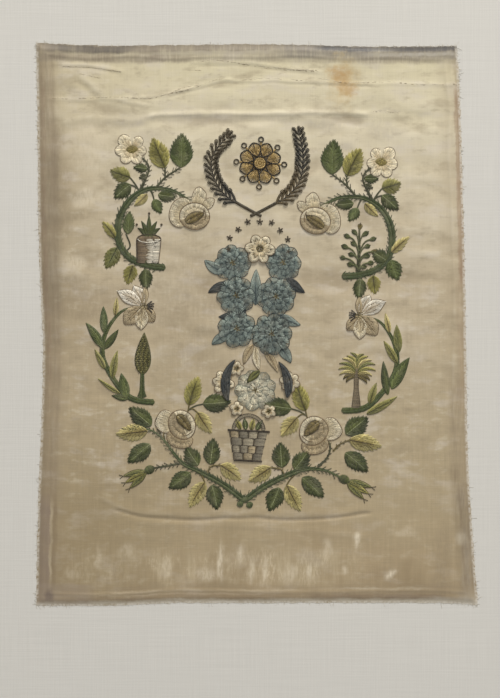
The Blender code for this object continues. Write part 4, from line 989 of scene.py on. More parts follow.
def purl(needle, base, angle, length, width, dye, bead=0.0):
    """A loop of coiled metal thread: turns of wire across a short bent rib, with a bead at its tip."""
    rib = bent_rib(base, angle, length, radians(16))
    shares = np.linspace(0.04, 0.97, round(length / 0.6))
    halves = (width / 2 * np.sin(pi * (0.12 + 0.8 * shares)) ** 0.5)[:, None]
    spine, sides = at_shares(rib, shares), at_shares(normals(rib), shares)
    needle.fill("metal_thread", spine - sides * halves, spine + sides * halves, dye, 0.56, lift=0.25,
                tight=0.4)
    if bead:
        turns = np.linspace(-0.8, 0.8, 4)[:, None]
        across = heading(angle + pi / 2) * np.sqrt(1 - turns * turns) * bead / 2
        rows = rib[-1] + heading(angle) * turns * bead / 2
        needle.fill("metal_beads", rows - across, rows + across, shaded(dye, 0.8), 0.62, lift=0.75, tight=0.2)


def tarnish(place):
    """Metal thread's colour at a place: it has kept more gold in some spots than in others."""
    share = float(smoothstep(0.5 + 0.9 * ripple(place[0], place[1], 17.0, 17.0, 9)))
    inner = PURL.inner * (1 - share) + PURL.outer * 0.7 * share
    outer = PURL.inner * 1.9 * (1 - share) + PURL.outer * 1.25 * share
    return Dye(inner, outer, PURL.line)


def wreath(needle):
    """One branch: a bare foot, then pairs of loops, which lie close outside and stand wide inside."""
    path = smooth_curve(WREATH_PATHS_MM[needle.side], 121)
    twig = at_shares(path, np.linspace(0, WREATH_BARE_SHARE + 0.04, 52))
    sides = normals(twig) * 1.05
    needle.fill("metal_thread", twig - sides, twig + sides, Dye(PURL.inner, PURL.outer * 0.8, PURL.line),
                0.62, lift=0.2)
    needle.line("metal_thread", at_shares(path, np.linspace(0.2, 0.97, 40)), PURL.line, 0.8)
    for i in range(WREATH_PAIRS):
        share = WREATH_BARE_SHARE + (0.98 - WREATH_BARE_SHARE) * i / (WREATH_PAIRS - 1)
        here, ahead = at_shares(path, [share, min(1, share + 0.02)]) if share < 0.98 else path[-3::2]
        facing = math.atan2(*(ahead - here)[::-1])
        narrow = 1 - 0.35 * share**5
        for spread, length in ((37, 8.2), (-31, 7.2)):
            turn = facing - radians(spread)
            size = length * narrow * needle.random.uniform(0.92, 1.08)
            purl(needle, here, turn, size, 1.9, tarnish((here[0] * needle.side, here[1])), 3.1)
    purl(needle, path[-3], facing, 5.0, 1.75, tarnish((path[-3][0] * needle.side, path[-3][1])), 2.9)


def ring(needle, piece, centre, radius, colour, width, lift):
    needle.line(piece, ellipse(centre, radius, radius, 0, 14), colour, width, 0.9, lift, True)


def rosette(needle):
    """The gold rosette: a couched disc, eight petals over it, and curled rings of purl between their tips."""
    disc = ROSETTE_RADIUS_MM * 0.78
    for row in range(round(2 * disc / 0.62)):
        y = -disc + (row + 0.5) * 0.62
        half = math.sqrt(max(0, disc * disc - y * y))
        pieces = max(1, round(2 * half / 2.6))
        for i in range(pieces):
            ends = [ROSETTE_MM + (-half + 2 * half * (i + over) / pieces, y) for over in (0.04, 0.96)]
            needle.stitch("gold_thread", *ends, GOLD.inner * 0.7, CORD_MM, GOLD.line * 1.6)
    hub = ROSETTE_RADIUS_MM * 0.28
    for i in range(8):
        turn = 2 * pi * (i + 0.5) / 8
        rib = bent_rib(ROSETTE_MM + heading(turn) * hub, turn, ROSETTE_RADIUS_MM - hub)
        # Each petal's upward half is paler: painted light
        leaf(needle, "gold_thread", rib, 8.8, GOLD, belly=0.6, slant=0.5, pitch=0.62, rib_line=False,
             painted_light_contrast=0.25)
        needle.line("metal_thread", rim_of(rib, 9.0, 0.6, 14), PURL.line, 0.85, 1.0, 0.4)
        between = turn + pi / 8
        purl(needle, ROSETTE_MM + heading(between) * hub * 1.9, between, 6.4, 1.8, GOLD)
        tip = ROSETTE_MM + heading(between) * ROSETTE_RADIUS_MM * 1.10
        ring(needle, "metal_thread", tip, 1.75, tarnish(tip).inner, 0.95, 0.3)
    for coil in range(6):
        reach = hub * (1.0 - 0.17 * coil)
        needle.line("gold_thread", ellipse(ROSETTE_MM, reach, reach, 0, 30),
                    GOLD.outer if coil % 2 else GOLD.inner,
                    CORD_MM, 1.2, 0.6, True)
    ring(needle, "metal_thread", ROSETTE_MM, hub * 1.06, PURL.line, 0.9, 0.8)


def layered_bloom(needle, bloom):
    """A full flower: rings of petals that overlap towards its eye of knots."""
    centre = np.array((bloom.x_mm, bloom.y_mm))
    first = needle.random.uniform(0, 1)
    needle.lift = bloom.lift_mm
    if bloom.radius_mm < 9 or bloom.dye is CREAM:
        petals = [(math.degrees(first) + 360 * i / bloom.petals,
                   bloom.radius_mm * needle.random.uniform(0.92, 1.06))
                  for i in range(bloom.petals)]
        round_petals(needle, "bouquet_stitches", centre, petals, bloom.radius_mm * 0.2, bloom.dye, 0.42, 0.1)
        flower_eye(needle, "bouquet_stitches", centre, 0.9 + bloom.radius_mm * 0.14, UMBER)
        needle.lift = 0.0
        return
    for layer, (size, foot_share) in enumerate(((1.0, 0.34), (0.70, 0.2), (0.40, 0.06))):
        count = bloom.petals - layer
        radius = bloom.radius_mm * size
        for i in range(count):
            turn = first + 2 * pi * (i + 0.5 * layer) / count + needle.random.normal(0, 0.05)
            foot = centre + heading(turn) * bloom.radius_mm * foot_share
            rib = bent_rib(foot, turn, radius - bloom.radius_mm * foot_share, radians(24))
            width = 2 * pi * radius * 0.92 / count
            needle.lift = bloom.lift_mm + 0.15 * layer + 0.03 * (i % 3)
            tone = needle.random.uniform(0.84, 1.3)
            # Each petal's upward half is paler: painted light
            leaf(needle, "bouquet_stitches", rib, width, shaded(bloom.dye, tone), belly=0.64, slant=0.45,
                 rib_line=False, painted_light_contrast=0.2)
            needle.line("bouquet_stitches", rim_of(rib, width, 0.64, 10, 0.25), bloom.dye.line, 0.42, 1.4,
                        0.25)
    needle.lift = bloom.lift_mm + 0.3
    flower_eye(needle, "bouquet_stitches", centre, 2.0, UMBER)
    needle.lift = 0.0


def bouquet(needle):
    """The blooms above the basket, the leaves among them and the dark florets over their top."""
    for row in BOUQUET_LEAVES:
        if row.lift_mm == 0:
            bouquet_leaf(needle, row)
    for bloom in BLOOMS:
        layered_bloom(needle, bloom)
    for row in BOUQUET_LEAVES:
        if row.lift_mm > 0:
            bouquet_leaf(needle, row)
    for i in range(9):
        turn = radians(2 + 176 * i / 8)
        place = FLORET_CENTRE_MM + heading(turn) * (FLORET_REACH_MM + 1.2 * (i % 2))
        for arm in range(5):
            reach = heading(turn + 2 * pi * arm / 5) * needle.random.uniform(2.0, 2.6)
            needle.stitch("outline_stitches", place, place + reach, UMBER.line * 0.8, 0.85, UMBER.line, 0.2)
        needle.knot("outline_stitches", place, UMBER.line, 1.5, 0.3)


def bouquet_leaf(needle, row):
    needle.lift = row.lift_mm
    rib = bent_rib(np.array((row.x_mm, row.y_mm)),
                   radians(row.angle_deg - row.bend_deg / 2 * (row.lift_mm > 0)),
                   row.length_mm, radians(row.bend_deg))
    leaf(needle, "bouquet_stitches", rib, row.width_mm, row.dye, slant=0.4)
    needle.line("bouquet_stitches", rim_of(rib, row.width_mm, 0.42), row.dye.line, 0.4)
    needle.lift = 0.0


def basket(needle):
    """Blocks of laid thread in brick order, with dark lines between them, under a plaited handle."""
    row_height = BASKET_HEIGHT_MM / BASKET_ROWS
    for row in range(BASKET_ROWS):
        low, high = row / BASKET_ROWS, (row + 1) / BASKET_ROWS
        widths = [BASKET_WIDTHS_MM[0] + (BASKET_WIDTHS_MM[1] - BASKET_WIDTHS_MM[0]) * s for s in (low, high)]
        count = 4 if row % 2 else 3
        y = BASKET_MM[1] + BASKET_HEIGHT_MM * (low - 0.5)
        for i in range(count):
            heights = np.linspace(0.06, 0.94, round(row_height / 0.5))
            spans = widths[0] + (widths[1] - widths[0]) * heights
            left = np.column_stack((BASKET_MM[0] + spans * (i / count - 0.5) + 0.35,
                                    y + heights * row_height))
            right = np.column_stack((BASKET_MM[0] + spans * ((i + 1) / count - 0.5) - 0.35, left[:, 1]))
            pale = (i * 3 + row) % 4
            dye = (BASKET_GREY, shaded(BASKET_GREY, 1.35), shaded(BASKET_GREY, 0.8), TAN)[pale]
            needle.fill("basket_stitches", left, right, dye)
            corners = [left[0] - (0.3, 0.3), left[-1] + (-0.3, 0.3), right[-1] + (0.3, 0.3)]
            needle.line("basket_stitches", corners, BASKET_GREY.line, 0.62, lift=0.3)
            fleck = (left[0] + right[-1]) / 2
            needle.stitch("basket_stitches", fleck - (1.2, 0), fleck + (1.2, 0), BASKET_GREY.line * 1.5,
                          0.3, None, 0.4)
    for share, over in ((0.0, 0.4), (1.0, 1.2)):
        width = BASKET_WIDTHS_MM[0] + (BASKET_WIDTHS_MM[1] - BASKET_WIDTHS_MM[0]) * share
        y = BASKET_MM[1] + BASKET_HEIGHT_MM * (share - 0.5)
        for step in (-0.35, 0.35):
            ends = [(BASKET_MM[0] - width / 2 - over, y + step), (BASKET_MM[0] + width / 2 + over, y + step)]
            needle.line("basket_stitches", ends, BASKET_GREY.line * (1.3 if step > 0 else 0.9), 0.7, 1.2,
                        0.35)
    top = BASKET_MM + (0, BASKET_HEIGHT_MM / 2)
    turns = np.linspace(0.12, pi - 0.12, 26)
    arch = top + np.column_stack((np.cos(turns) * 10.5, np.sin(turns) * 11.5))
    sides = normals(arch) * 1.1
    needle.fill("basket_stitches", arch - sides, arch + sides, BASKET_GREY, 0.8)
    for edge in (-1, 1):
        needle.line("basket_stitches", arch + sides * edge, BASKET_GREY.line, 0.45, lift=0.3)
    for offset, dye in ((-5.5, GOLD_GREEN), (-1.8, DEEP_GREEN), (2.0, GOLD_GREEN), (5.6, DEEP_GREEN)):
        rib = bent_rib(top + (offset, 1), radians(90 - offset * 5), 8.5, offset * -0.04)
        leaf(needle, "leaf_stitches", rib, 4.0, dye, slant=0.34)


def potted_plant(needle):
    """A pale pot of laid thread, brown on its shaded side, with a small dark plant."""
    heights = np.linspace(0.02, 0.98, round(POT_HEIGHT_MM / 0.55))
    spans = POT_WIDTHS_MM[0] + (POT_WIDTHS_MM[1] - POT_WIDTHS_MM[0]) * heights
    left = POT_FOOT_MM + np.column_stack((-spans / 2, heights * POT_HEIGHT_MM))
    right = left + np.column_stack((spans, np.zeros(len(spans))))
    for start, end in zip(left, right):
        turn = start + (end - start) * needle.random.uniform(0.34, 0.56)
        bright = start + (end - start) * needle.random.uniform(0.66, 0.8)
        for first, last, colour, end_colour in (
                (start, turn, POT_BROWN.inner, POT_BROWN.outer),
                (turn, bright, POT_WHITE.inner, POT_WHITE.outer),
                (bright, end, POT_WHITE.outer, POT_WHITE.inner)):
            needle.stitch("basket_stitches", first, last, colour, 0.66, end_colour, 0.1)
    for path, dye, width in ((left, POT_BROWN, 0.8), (right, POT_WHITE, 0.5),
                             ((left[0], right[0]), POT_BROWN, 0.5)):
        needle.line("basket_stitches", path, dye.line, width, lift=0.3)
    top, half = POT_FOOT_MM + (0, POT_HEIGHT_MM), POT_WIDTHS_MM[1] / 2
    petal_fill(needle, "basket_stitches", top, half, 3.0, 0, POT_BROWN, top - (0, 1))
    needle.line("basket_stitches", ellipse(top, half, 3.2, 0), POT_BROWN.line, 0.6, closed=True, lift=0.3)
    needle.line("basket_stitches", ellipse(top, half - 0.6, 2.6, 0)[24:], POT_WHITE.outer, 0.7, lift=0.5)
    for angle, reach in POT_BLADES:
        rib = bent_rib(top + (0, 0.6), radians(angle), reach, radians((angle - 90) * 0.7))
        leaf(needle, "leaf_stitches", rib, 3.6, DEEP_GREEN, slant=0.34, rib_line=False)
    needle.line("stem_stitches", [top, top + (0, 10)], PURL.line, 0.7)
    for place in POT_KNOTS_MM:
        needle.knot("leaf_stitches", top + place, UMBER.line, 1.6, 0.3)


def spike(needle):
    """A tall spike of seeds on a stalk."""
    stalk = 0.4 * SPIKE_HEIGHT_MM
    foot, neck = SPIKE_BASE_MM + (0, 0.5), SPIKE_BASE_MM + (0, stalk)
    stem(needle,
         Stem(LEFT, (foot, foot + (0, 5), neck, neck + (0, 1.0)), (8.0, 4.0, 3.4, 3.0, 2.8), 0,
              DARK_GREEN))
    rib = bent_rib(neck - (0, 1), pi / 2, SPIKE_HEIGHT_MM - stalk + 1)
    leaf(needle, "leaf_stitches", rib, SPIKE_HEAD_WIDTH_MM, SEED, belly=0.36, slant=0.1, rib_line=False)
    for row in range(17):
        share = 0.05 + 0.9 * row / 17
        half = float(half_widths(np.array(share), SPIKE_HEAD_WIDTH_MM, 0.36)) - 0.6
        seeds = max(1, round(2 * half / 1.5))
        for i in range(seeds):
            across = 0 if seeds == 1 else -half + 2 * half * (i + 0.5 * (row % 2)) / seeds
            place = at_shares(rib, [share])[0] + (across, 0)
            colour = SEED.line if (i + row) % 2 else UMBER.line * 0.7
            needle.stitch("leaf_stitches", place - (0.6, 0.5), place + (0.6, 0.6), colour, 0.6,
                          SEED.outer, 0.5, 0.5)


def sprig(needle):
    """A sprig with club-shaped buds on rising twigs."""
    top = SPRIG_BASE_MM + (0, SPRIG_HEIGHT_MM)
    stem(needle,
         Stem(LEFT, (SPRIG_BASE_MM, (SPRIG_BASE_MM + top) / 2, top), (4.4, 2.6, 2.0, 1.5, 1.0), 0,
              TWIG_GREEN))
    for twig in SPRIG_TWIGS:
        foot = SPRIG_BASE_MM + (0, twig.foot_mm)
        tip = SPRIG_BASE_MM + (twig.tip_x_mm, twig.tip_y_mm)
        bend = foot + ((tip - foot)[0] * 0.45, (tip - foot)[1] * 0.75)
        path = smooth_curve((foot, bend, tip), 14)
        needle.line("stem_stitches", path, TWIG_GREEN.inner, 0.85, 1.2)
        needle.line("stem_stitches", path + (0, 0.5), DARK_GREEN.inner, 0.5, 1.2, 0.2)
        angle = math.atan2(*(path[-1] - path[-3])[::-1])
        rib = bent_rib(tip - heading(angle) * 2.6, angle, needle.random.uniform(4.8, 6.4))
        dye = UMBER if twig.tip_x_mm > 9.5 else DEEP_GREEN
        leaf(needle, "leaf_stitches", rib, needle.random.uniform(3.0, 3.8), dye, belly=0.62, slant=0.4,
             rib_line=False)
    rib = bent_rib(top - (0, 1.5), radians(82), 5.4)
    leaf(needle, "leaf_stitches", rib, 3.4, UMBER, belly=0.62, slant=0.4, rib_line=False)


def tuft(needle):
    """Fronds that arch and droop from a slim trunk."""
    top = TUFT_BASE_MM + (0, TUFT_TRUNK_MM)
    heights = np.linspace(0, 1, round(TUFT_TRUNK_MM / 0.5))
    half = (3.0 - 1.5 * smoothstep(heights * 1.8))[:, None] * (1, 0)
    spine = TUFT_BASE_MM + heights[:, None] * (0, TUFT_TRUNK_MM + 3)
    needle.fill("stem_stitches", spine - half, spine + half, BARK)
    for edge in (-1, 1):
        needle.line("stem_stitches", spine + half * edge, BARK.line, 0.35)
    for rank in range(TUFT_FRONDS):
        for sign in (-1, 1):
            angle = radians(90 - sign * (8 + 14.5 * rank))
            length = (10.5, 13, 14, 14.5, 14, 13, 12, 10.5, 9)[rank] * needle.random.uniform(0.9, 1.08)
            droop = radians(118 - 6 * rank + needle.random.uniform(-8, 14))
            rib = bent_rib(top + (sign * 0.6, 4.6 - 0.9 * rank), angle, length, -sign * droop)
            dye = UMBER if rank >= TUFT_FRONDS - 2 else (PALE_GOLD, OLIVE_GREEN, GOLD_GREEN)[rank % 3]
            leaf(needle, "leaf_stitches", rib, 2.3, dye, belly=0.5, slant=0.34, rib_line=False)
            under = rib + normals(rib) * -sign * 1.0 * np.sin(np.linspace(0, pi, len(rib)))[:, None]
            needle.line("outline_stitches", under[::4], UMBER.line, 0.30, 1.4, 0.3)


def garland_knot(needle):
    """The round knobs where the garland's two halves meet."""
    for x, y, radius in ((-2.4, -121.6, 2.3), (4.2, -122.0, 2.3), (0.9, -118.4, 2.4)):
        petal_fill(needle, "stem_stitches", np.array((x, y)), radius, radius, 0.4, STEM_GREEN,
                   np.array((x, y + 1)))
        ring(needle, "stem_stitches", np.array((x, y)), radius * 0.9, STEM_GREEN.outer, 0.5, 0.2)


def work_embroidery():
    """All the stitches of the panel, by piece."""
    needle = Needle()
    for side in (1, -1):
        needle.side = side
        for row in STEMS:
            if side in row.sides:
                stem(needle, row)
        for sides, rows in LEAVES:
            for row in rows if side in sides else ():
                table_leaf(needle, Leaf(*row))
        for rose in ROSES:
            side_rose(needle, rose)
        dog_rose(needle)
        lily(needle)
        bud(needle)
        wreath(needle)
    needle.side = 1
    garland_knot(needle)
    rosette(needle)
    bouquet(needle)
    basket(needle)
    potted_plant(needle)
    spike(needle)
    sprig(needle)
    tuft(needle)
    return needle.pieces


def on_cloth(points_mm):
    """Points of the embroidery's frame on the panel, in metres, with the slight wander of hand work."""
    wander = [HAND_WANDER_MM * ripple(points_mm[..., 0], points_mm[..., 1], 31.0, 27.0,
                                      30 + axis) for axis in range(2)]
    moved = points_mm + np.stack(wander, axis=-1)
    turn = np.array(((math.cos(FRAME_TURN), math.sin(FRAME_TURN)),
                     (-math.sin(FRAME_TURN), math.cos(FRAME_TURN))))
    return (moved @ turn + FRAME_CENTRE_MM) * MM


def thread_piece(name, rows, lie="worked"):
    """One mesh of all the stitches of a piece: each is a rounded ridge that dips into the cloth at its ends.

    Worked stitches are in the embroidery's frame, and those on the cloth or the ground in the panel's.
    Those on the ground lie outside the cloth and slope down from its rim.
    """
    rows = np.array(rows)
    start, end = [on_cloth(rows[:, i:i + 2]) if lie == "worked" else rows[:, i:i + 2] * MM for i in (0, 2)]
    half_width, lift, tight = rows[:, 4, None, None] * MM / 2, rows[:, 5] * MM, rows[:, 6]
    along = end - start
    length = np.maximum(np.linalg.norm(along, axis=1), 1e-6)
    side = np.column_stack((-along[:, 1], along[:, 0])) / length[:, None]
    centre = start[:, None] + along[:, None] * STATIONS[:, None]
    if lie == "ground":
        taper = np.ones(len(STATIONS))
        base = np.linspace(*GROUND_SLOPE, len(STATIONS))[None]
        pattern_run = np.full(len(rows), np.linalg.norm(np.diff(on_cloth(LOOSE_PATTERN_MM), axis=0)))
    else:
        taper = TAPER
        pattern_run = length
        rise = lift + np.minimum(MOST_RISE, (LEAST_RISE + 0.05 * length) * (2 - tight))
        base = cloth_height(centre[..., 0], centre[..., 1]) + rise[:, None] * ARCH
    offset = side[:, None, None] * half_width[..., None] * taper[:, None, None] * ACROSS[:, None]
    height = base[:, :, None] + half_width * ROUND
    points = np.concatenate((centre[:, :, None] + offset, height[..., None]), axis=-1).reshape(-1, 3)

    first = np.arange(len(rows))[:, None, None] * (len(STATIONS) * len(ACROSS))
    step = np.arange(len(STATIONS) - 1)[:, None] * len(ACROSS) + np.arange(len(ACROSS) - 1)
    corner = (first + step).reshape(-1)
    quads = np.stack((corner, corner + len(ACROSS), corner + len(ACROSS) + 1, corner + 1), axis=-1)[:, ::-1]
    made = new_object(name, points.tolist(), quads.tolist())

    shares = STATIONS[None, :, None, None]
    colours = rows[:, None, None, 7:10] * (1 - shares) + rows[:, None, None, 10:13] * shares
    colours = np.repeat(colours, len(ACROSS), axis=2).reshape(-1, 3)
    colours = np.column_stack((colours, np.ones(len(colours))))
    attribute = made.data.color_attributes.new("thread_colour", "FLOAT_COLOR", "POINT")
    attribute.data.foreach_set("color", colours.ravel())
    run = np.broadcast_to(pattern_run[:, None, None] * STATIONS[None, :, None], height.shape) / MM
    over = np.broadcast_to(ACROSS * 0.5 + 0.5, height.shape)
    coordinates = np.stack((run, over), axis=-1).reshape(-1, 2)
    layer = made.data.uv_layers.new(name="thread")
    layer.data.foreach_set("uv", coordinates[quads.ravel()].ravel())
    return made


def edge_threads():
    """Short broken threads that stand out of the raw edges and lie on the surface outside the cloth."""
    random = np.random.default_rng(77)
    outline = Outline()
    rows = []
    for name, outward in (("left", pi), ("right", 0), ("top", pi / 2), ("bottom", -pi / 2)):
        shares = random.beta(0.75, 0.75, EDGE_THREADS)
        for place, share in zip(outline.edge(name, shares) / MM, shares):
            near_corner = 1 + 1.2 * math.exp(-min(share, 1 - share) / 0.03)
            reach = random.exponential(0.55) * near_corner + 0.4
            end = place + heading(outward + random.normal(0, 0.5)) * min(reach, 4.0)
            start = place - heading(outward) * 0.8
            colour = srgb(216, 208, 190) * random.uniform(0.75, 1.1)
            rows.append((*start, *end, random.uniform(0.12, 0.26), 0.0, 1.0, *colour, *colour))
    return rows


class Tree:
    """A material's node tree, with short calls to add and link its nodes, and the colour mixed so far."""

    def __init__(self, name):
        self.material = bpy.data.materials.new(name)
        self.material.use_nodes = True
        self.nodes = self.material.node_tree.nodes
        self.links = self.material.node_tree.links
        self.shader = self.nodes["Principled BSDF"]
        self.position = self.add("TexCoord").outputs["Object"]
        self.colour = None

    def connect(self, value, socket):
        if isinstance(value, bpy.types.NodeSocket):
            self.links.new(value, socket)
        elif value is not None:
            socket.default_value = (*value, 1.0) if isinstance(value, np.ndarray) else value

    def add(self, kind, inputs=None, **settings):
        made = self.nodes.new("ShaderNode" + kind)
        for name, value in settings.items():
            setattr(made, name, value)
        for name, value in (inputs or {}).items():
            self.connect(value, made.inputs[name])
        return made

    def attribute(self, name):
        return self.add("Attribute", attribute_name=name).outputs["Fac"]

    def math(self, operation, first, second=None, third=None):
        made = self.add("Math", operation=operation)
        for value, socket in zip((first, second, third), made.inputs):
            self.connect(value, socket)
        return made.outputs[0]

    def times(self, first, *others):
        """The product of several values."""
        for other in others:
            first = self.math("MULTIPLY", first, other)
        return first

    def ramp(self, value, low, high, bottom=0.0, top=1.0):
        """The value's place between low and high, smoothed, as a number between bottom and top."""
        inputs = {"Value": value, "From Min": low, "From Max": high, "To Min": bottom, "To Max": top}
        return self.add("MapRange", inputs, interpolation_type="SMOOTHSTEP").outputs["Result"]

    def window(self, value, start, end, soft):
        """1 between start and end, falling to 0 over a soft border."""
        return self.times(self.ramp(value, start - soft, start + soft),
                          self.ramp(value, end + soft, end - soft))

    def scaled(self, scale, shift):
        return self.add("Mapping", {"Vector": self.position, "Scale": scale, "Location": shift}).outputs[0]

    def noise(self, scale, detail=2.0, shift=(0.0, 0.0), roughness=0.5):
        """Noise whose scale in each direction is given in bumps per metre."""
        place = self.scaled((*scale, 1.0)[:3], (*shift, 0.0))
        inputs = {"Vector": place, "Scale": 1.0, "Detail": detail, "Roughness": roughness}
        return self.add("TexNoise", inputs).outputs["Fac"]

    def tint(self, share, colour, blend="MIX"):
        """Mixes a share of another colour into the colour so far."""
        made = self.add("Mix", data_type="RGBA", blend_type=blend, clamp_factor=True)
        for value, index in ((share, 0), (self.colour, 6), (colour, 7)):
            self.connect(value, made.inputs[index])
        self.colour = made.outputs[2]

    def shade(self, value):
        """Multiplies the colour so far by a grey value."""
        grey = self.add("CombineColor", {"Red": value, "Green": value, "Blue": value}).outputs[0]
        self.tint(1.0, grey, "MULTIPLY")

    def colour_ramp(self, value, stops):
        made = self.add("ValToRGB", {"Fac": value})
        elements = made.color_ramp.elements
        while len(elements) < len(stops):
            elements.new(0.5)
        for element, (place, colour) in zip(elements, stops):
            element.position = place
            element.color = (*colour, 1.0)
        return made.outputs["Color"]

    def finish(self, height, strength, distance, levels):
        """The material, once its shader has the colour, a bump and its plain levels."""
        raised = self.add("Bump", {"Height": height, "Strength": strength, "Distance": distance})
        self.connect(raised.outputs["Normal"], self.shader.inputs["Normal"])
        self.connect(self.colour, self.shader.inputs["Base Color"])
        for name, level in levels.items():
            self.shader.inputs[name].default_value = level
        return self.material


# The satin's colour at heights on the panel in millimetres
SATIN_COLOURS = (
    (-197, srgb(158, 138, 106)), (-178, srgb(172, 152, 118)), (-130, srgb(176, 158, 124)),
    (-60, srgb(184, 167, 134)), (20, srgb(193, 177, 147)), (90, srgb(207, 193, 163)),
    (140, srgb(217, 205, 174)), (197, srgb(219, 208, 172)),
)


def satin_material():
    """Aged cream satin: cockled and clouded, with soiled margins, a worn lower band and an old stain, and
    painted highlight and shade over its folds.
    """
    tree = Tree("silk_satin")
    axes = tree.add("SeparateXYZ", {"Vector": tree.position})
    x, y = axes.outputs["X"], axes.outputs["Y"]
    foot, head = SATIN_COLOURS[0][0], SATIN_COLOURS[-1][0]
    height = tree.add("MapRange",
                      {"Value": y, "From Min": foot * MM, "From Max": head * MM}).outputs["Result"]
    drift = tree.math("MULTIPLY_ADD", tree.noise((14, 22), 3.0), 0.24, -0.12)
    stops = [((place - foot) / (head - foot), colour) for place, colour in SATIN_COLOURS]
    tree.colour = tree.colour_ramp(tree.math("ADD", height, drift), stops)

    # The left side is browner than the right, most of all at the foot
    tree.tint(tree.ramp(x, -0.04, -0.15, 0.0, 0.40), srgb(176, 157, 124))
    tree.tint(tree.times(tree.ramp(x, -0.02, -0.12), tree.ramp(y, -0.06, -0.14), 0.6), srgb(152, 134, 100))
    shade = tree.times(tree.ramp(x, -0.105, -0.140), tree.window(y, -0.02, 0.12, 0.03), 0.35)
    tree.tint(shade, srgb(158, 141, 110))

    # Painted highlight on the crests and painted shade in the hollows, read from the relief; the hollows'
    # darkening also stands for some dust
    relief = tree.attribute("relief")
    tree.tint(tree.ramp(relief, 0.10, 0.75, 0.0, 0.34), srgb(236, 226, 202))
    tree.tint(tree.ramp(relief, -0.08, -0.70, 0.0, 0.50), srgb(148, 131, 104))

    # Clouds and spots, pale and dull, longer across than up and fainter near the foot: partly the silk's own
    # mottling, partly painted highlight and shade of its cockles
    above = tree.ramp(y, -0.13, -0.09, 0.45, 1.0)
    cloud, spots = tree.noise((34, 70), 4.0, (3.0, 1.0), 0.6), tree.noise((90, 170), 4.0, (6.0, 4.0), 0.6)
    for noise, low, high, share, colour in (
            (cloud, 0.50, 0.70, 0.44, srgb(216, 205, 188)), (cloud, 0.49, 0.30, 0.40, srgb(158, 142, 114)),
            (spots, 0.53, 0.72, 0.34, srgb(222, 211, 184)), (spots, 0.47, 0.28, 0.34, srgb(152, 137, 112))):
        tree.tint(tree.times(tree.ramp(noise, low, high, 0.0, share), above), colour)

    # Upright threads and fine weft, which show more towards the foot
    streak, thread, weft = tree.noise((520, 30)), tree.noise((2100, 60), 1.0), tree.noise((60, 1500), 1.0)
    fibre = tree.math("ADD", tree.math("MULTIPLY_ADD", streak, 0.10, -0.14),
                      tree.math("MULTIPLY", thread, 0.08))
    fibre = tree.math("MULTIPLY_ADD", weft, 0.10, fibre)
    tree.shade(tree.math("MULTIPLY_ADD", fibre, tree.ramp(y, 0.06, -0.10, 1.0, 1.9), 1.0))

    worn_foot(tree, x, y)
    ragged = tree.ramp(tree.noise((420, 160), 4.0, (4.0, 8.0), 0.65), 0.34, 0.58, 0.35, 1.0)
    # The grey and pale marks along the long crease are painted shade and painted highlight
    for kind, colour in MARK_COLOURS.items():
        tree.tint(tree.times(tree.attribute(kind), ragged), colour)
    soiled_margins(tree, x, y)
    old_stains(tree)
    bump = tree.math("ADD", tree.math("MULTIPLY", streak, 0.4), tree.math("ADD", thread, weft))
    levels = {"Roughness": 0.46, "Specular IOR Level": 0.4, "Sheen Weight": 0.08, "Sheen Roughness": 0.35}
    return tree.finish(bump, 0.35, 0.12 * MM, levels)


def worn_foot(tree, x, y):
    """The band near the foot where broken warp bares the pale weft in upright flecks."""
    across = tree.times(tree.ramp(x, -0.086, -0.060, 0.30, 1.0), tree.window(x, -0.140, 0.062, 0.025))
    area = tree.times(tree.window(y, -0.181, -0.160, 0.007), across)
    patch = tree.ramp(tree.noise((46, 34), 3.0, (1.0, 5.0), 0.6), 0.42, 0.60)
    fleck = tree.ramp(tree.noise((560, 150), 4.0, (7.0, 2.0), 0.7), 0.44, 0.64)
    streak = tree.ramp(tree.noise((230, 22), 3.0, (2.0, 6.0), 0.6), 0.42, 0.66)
    tree.tint(tree.times(area, streak, 0.36), srgb(206, 190, 156))
    tree.tint(tree.times(area, patch, fleck, 0.58), srgb(222, 206, 172))
    tree.tint(tree.times(area, patch, 0.16), srgb(206, 188, 154))
    rub = tree.ramp(tree.noise((18, 10), 4.0, (4.0, 5.0), 0.6), 0.48, 0.60)
    tree.tint(tree.times(rub, tree.ramp(y, -0.118, -0.150), 0.34), srgb(146, 126, 92))


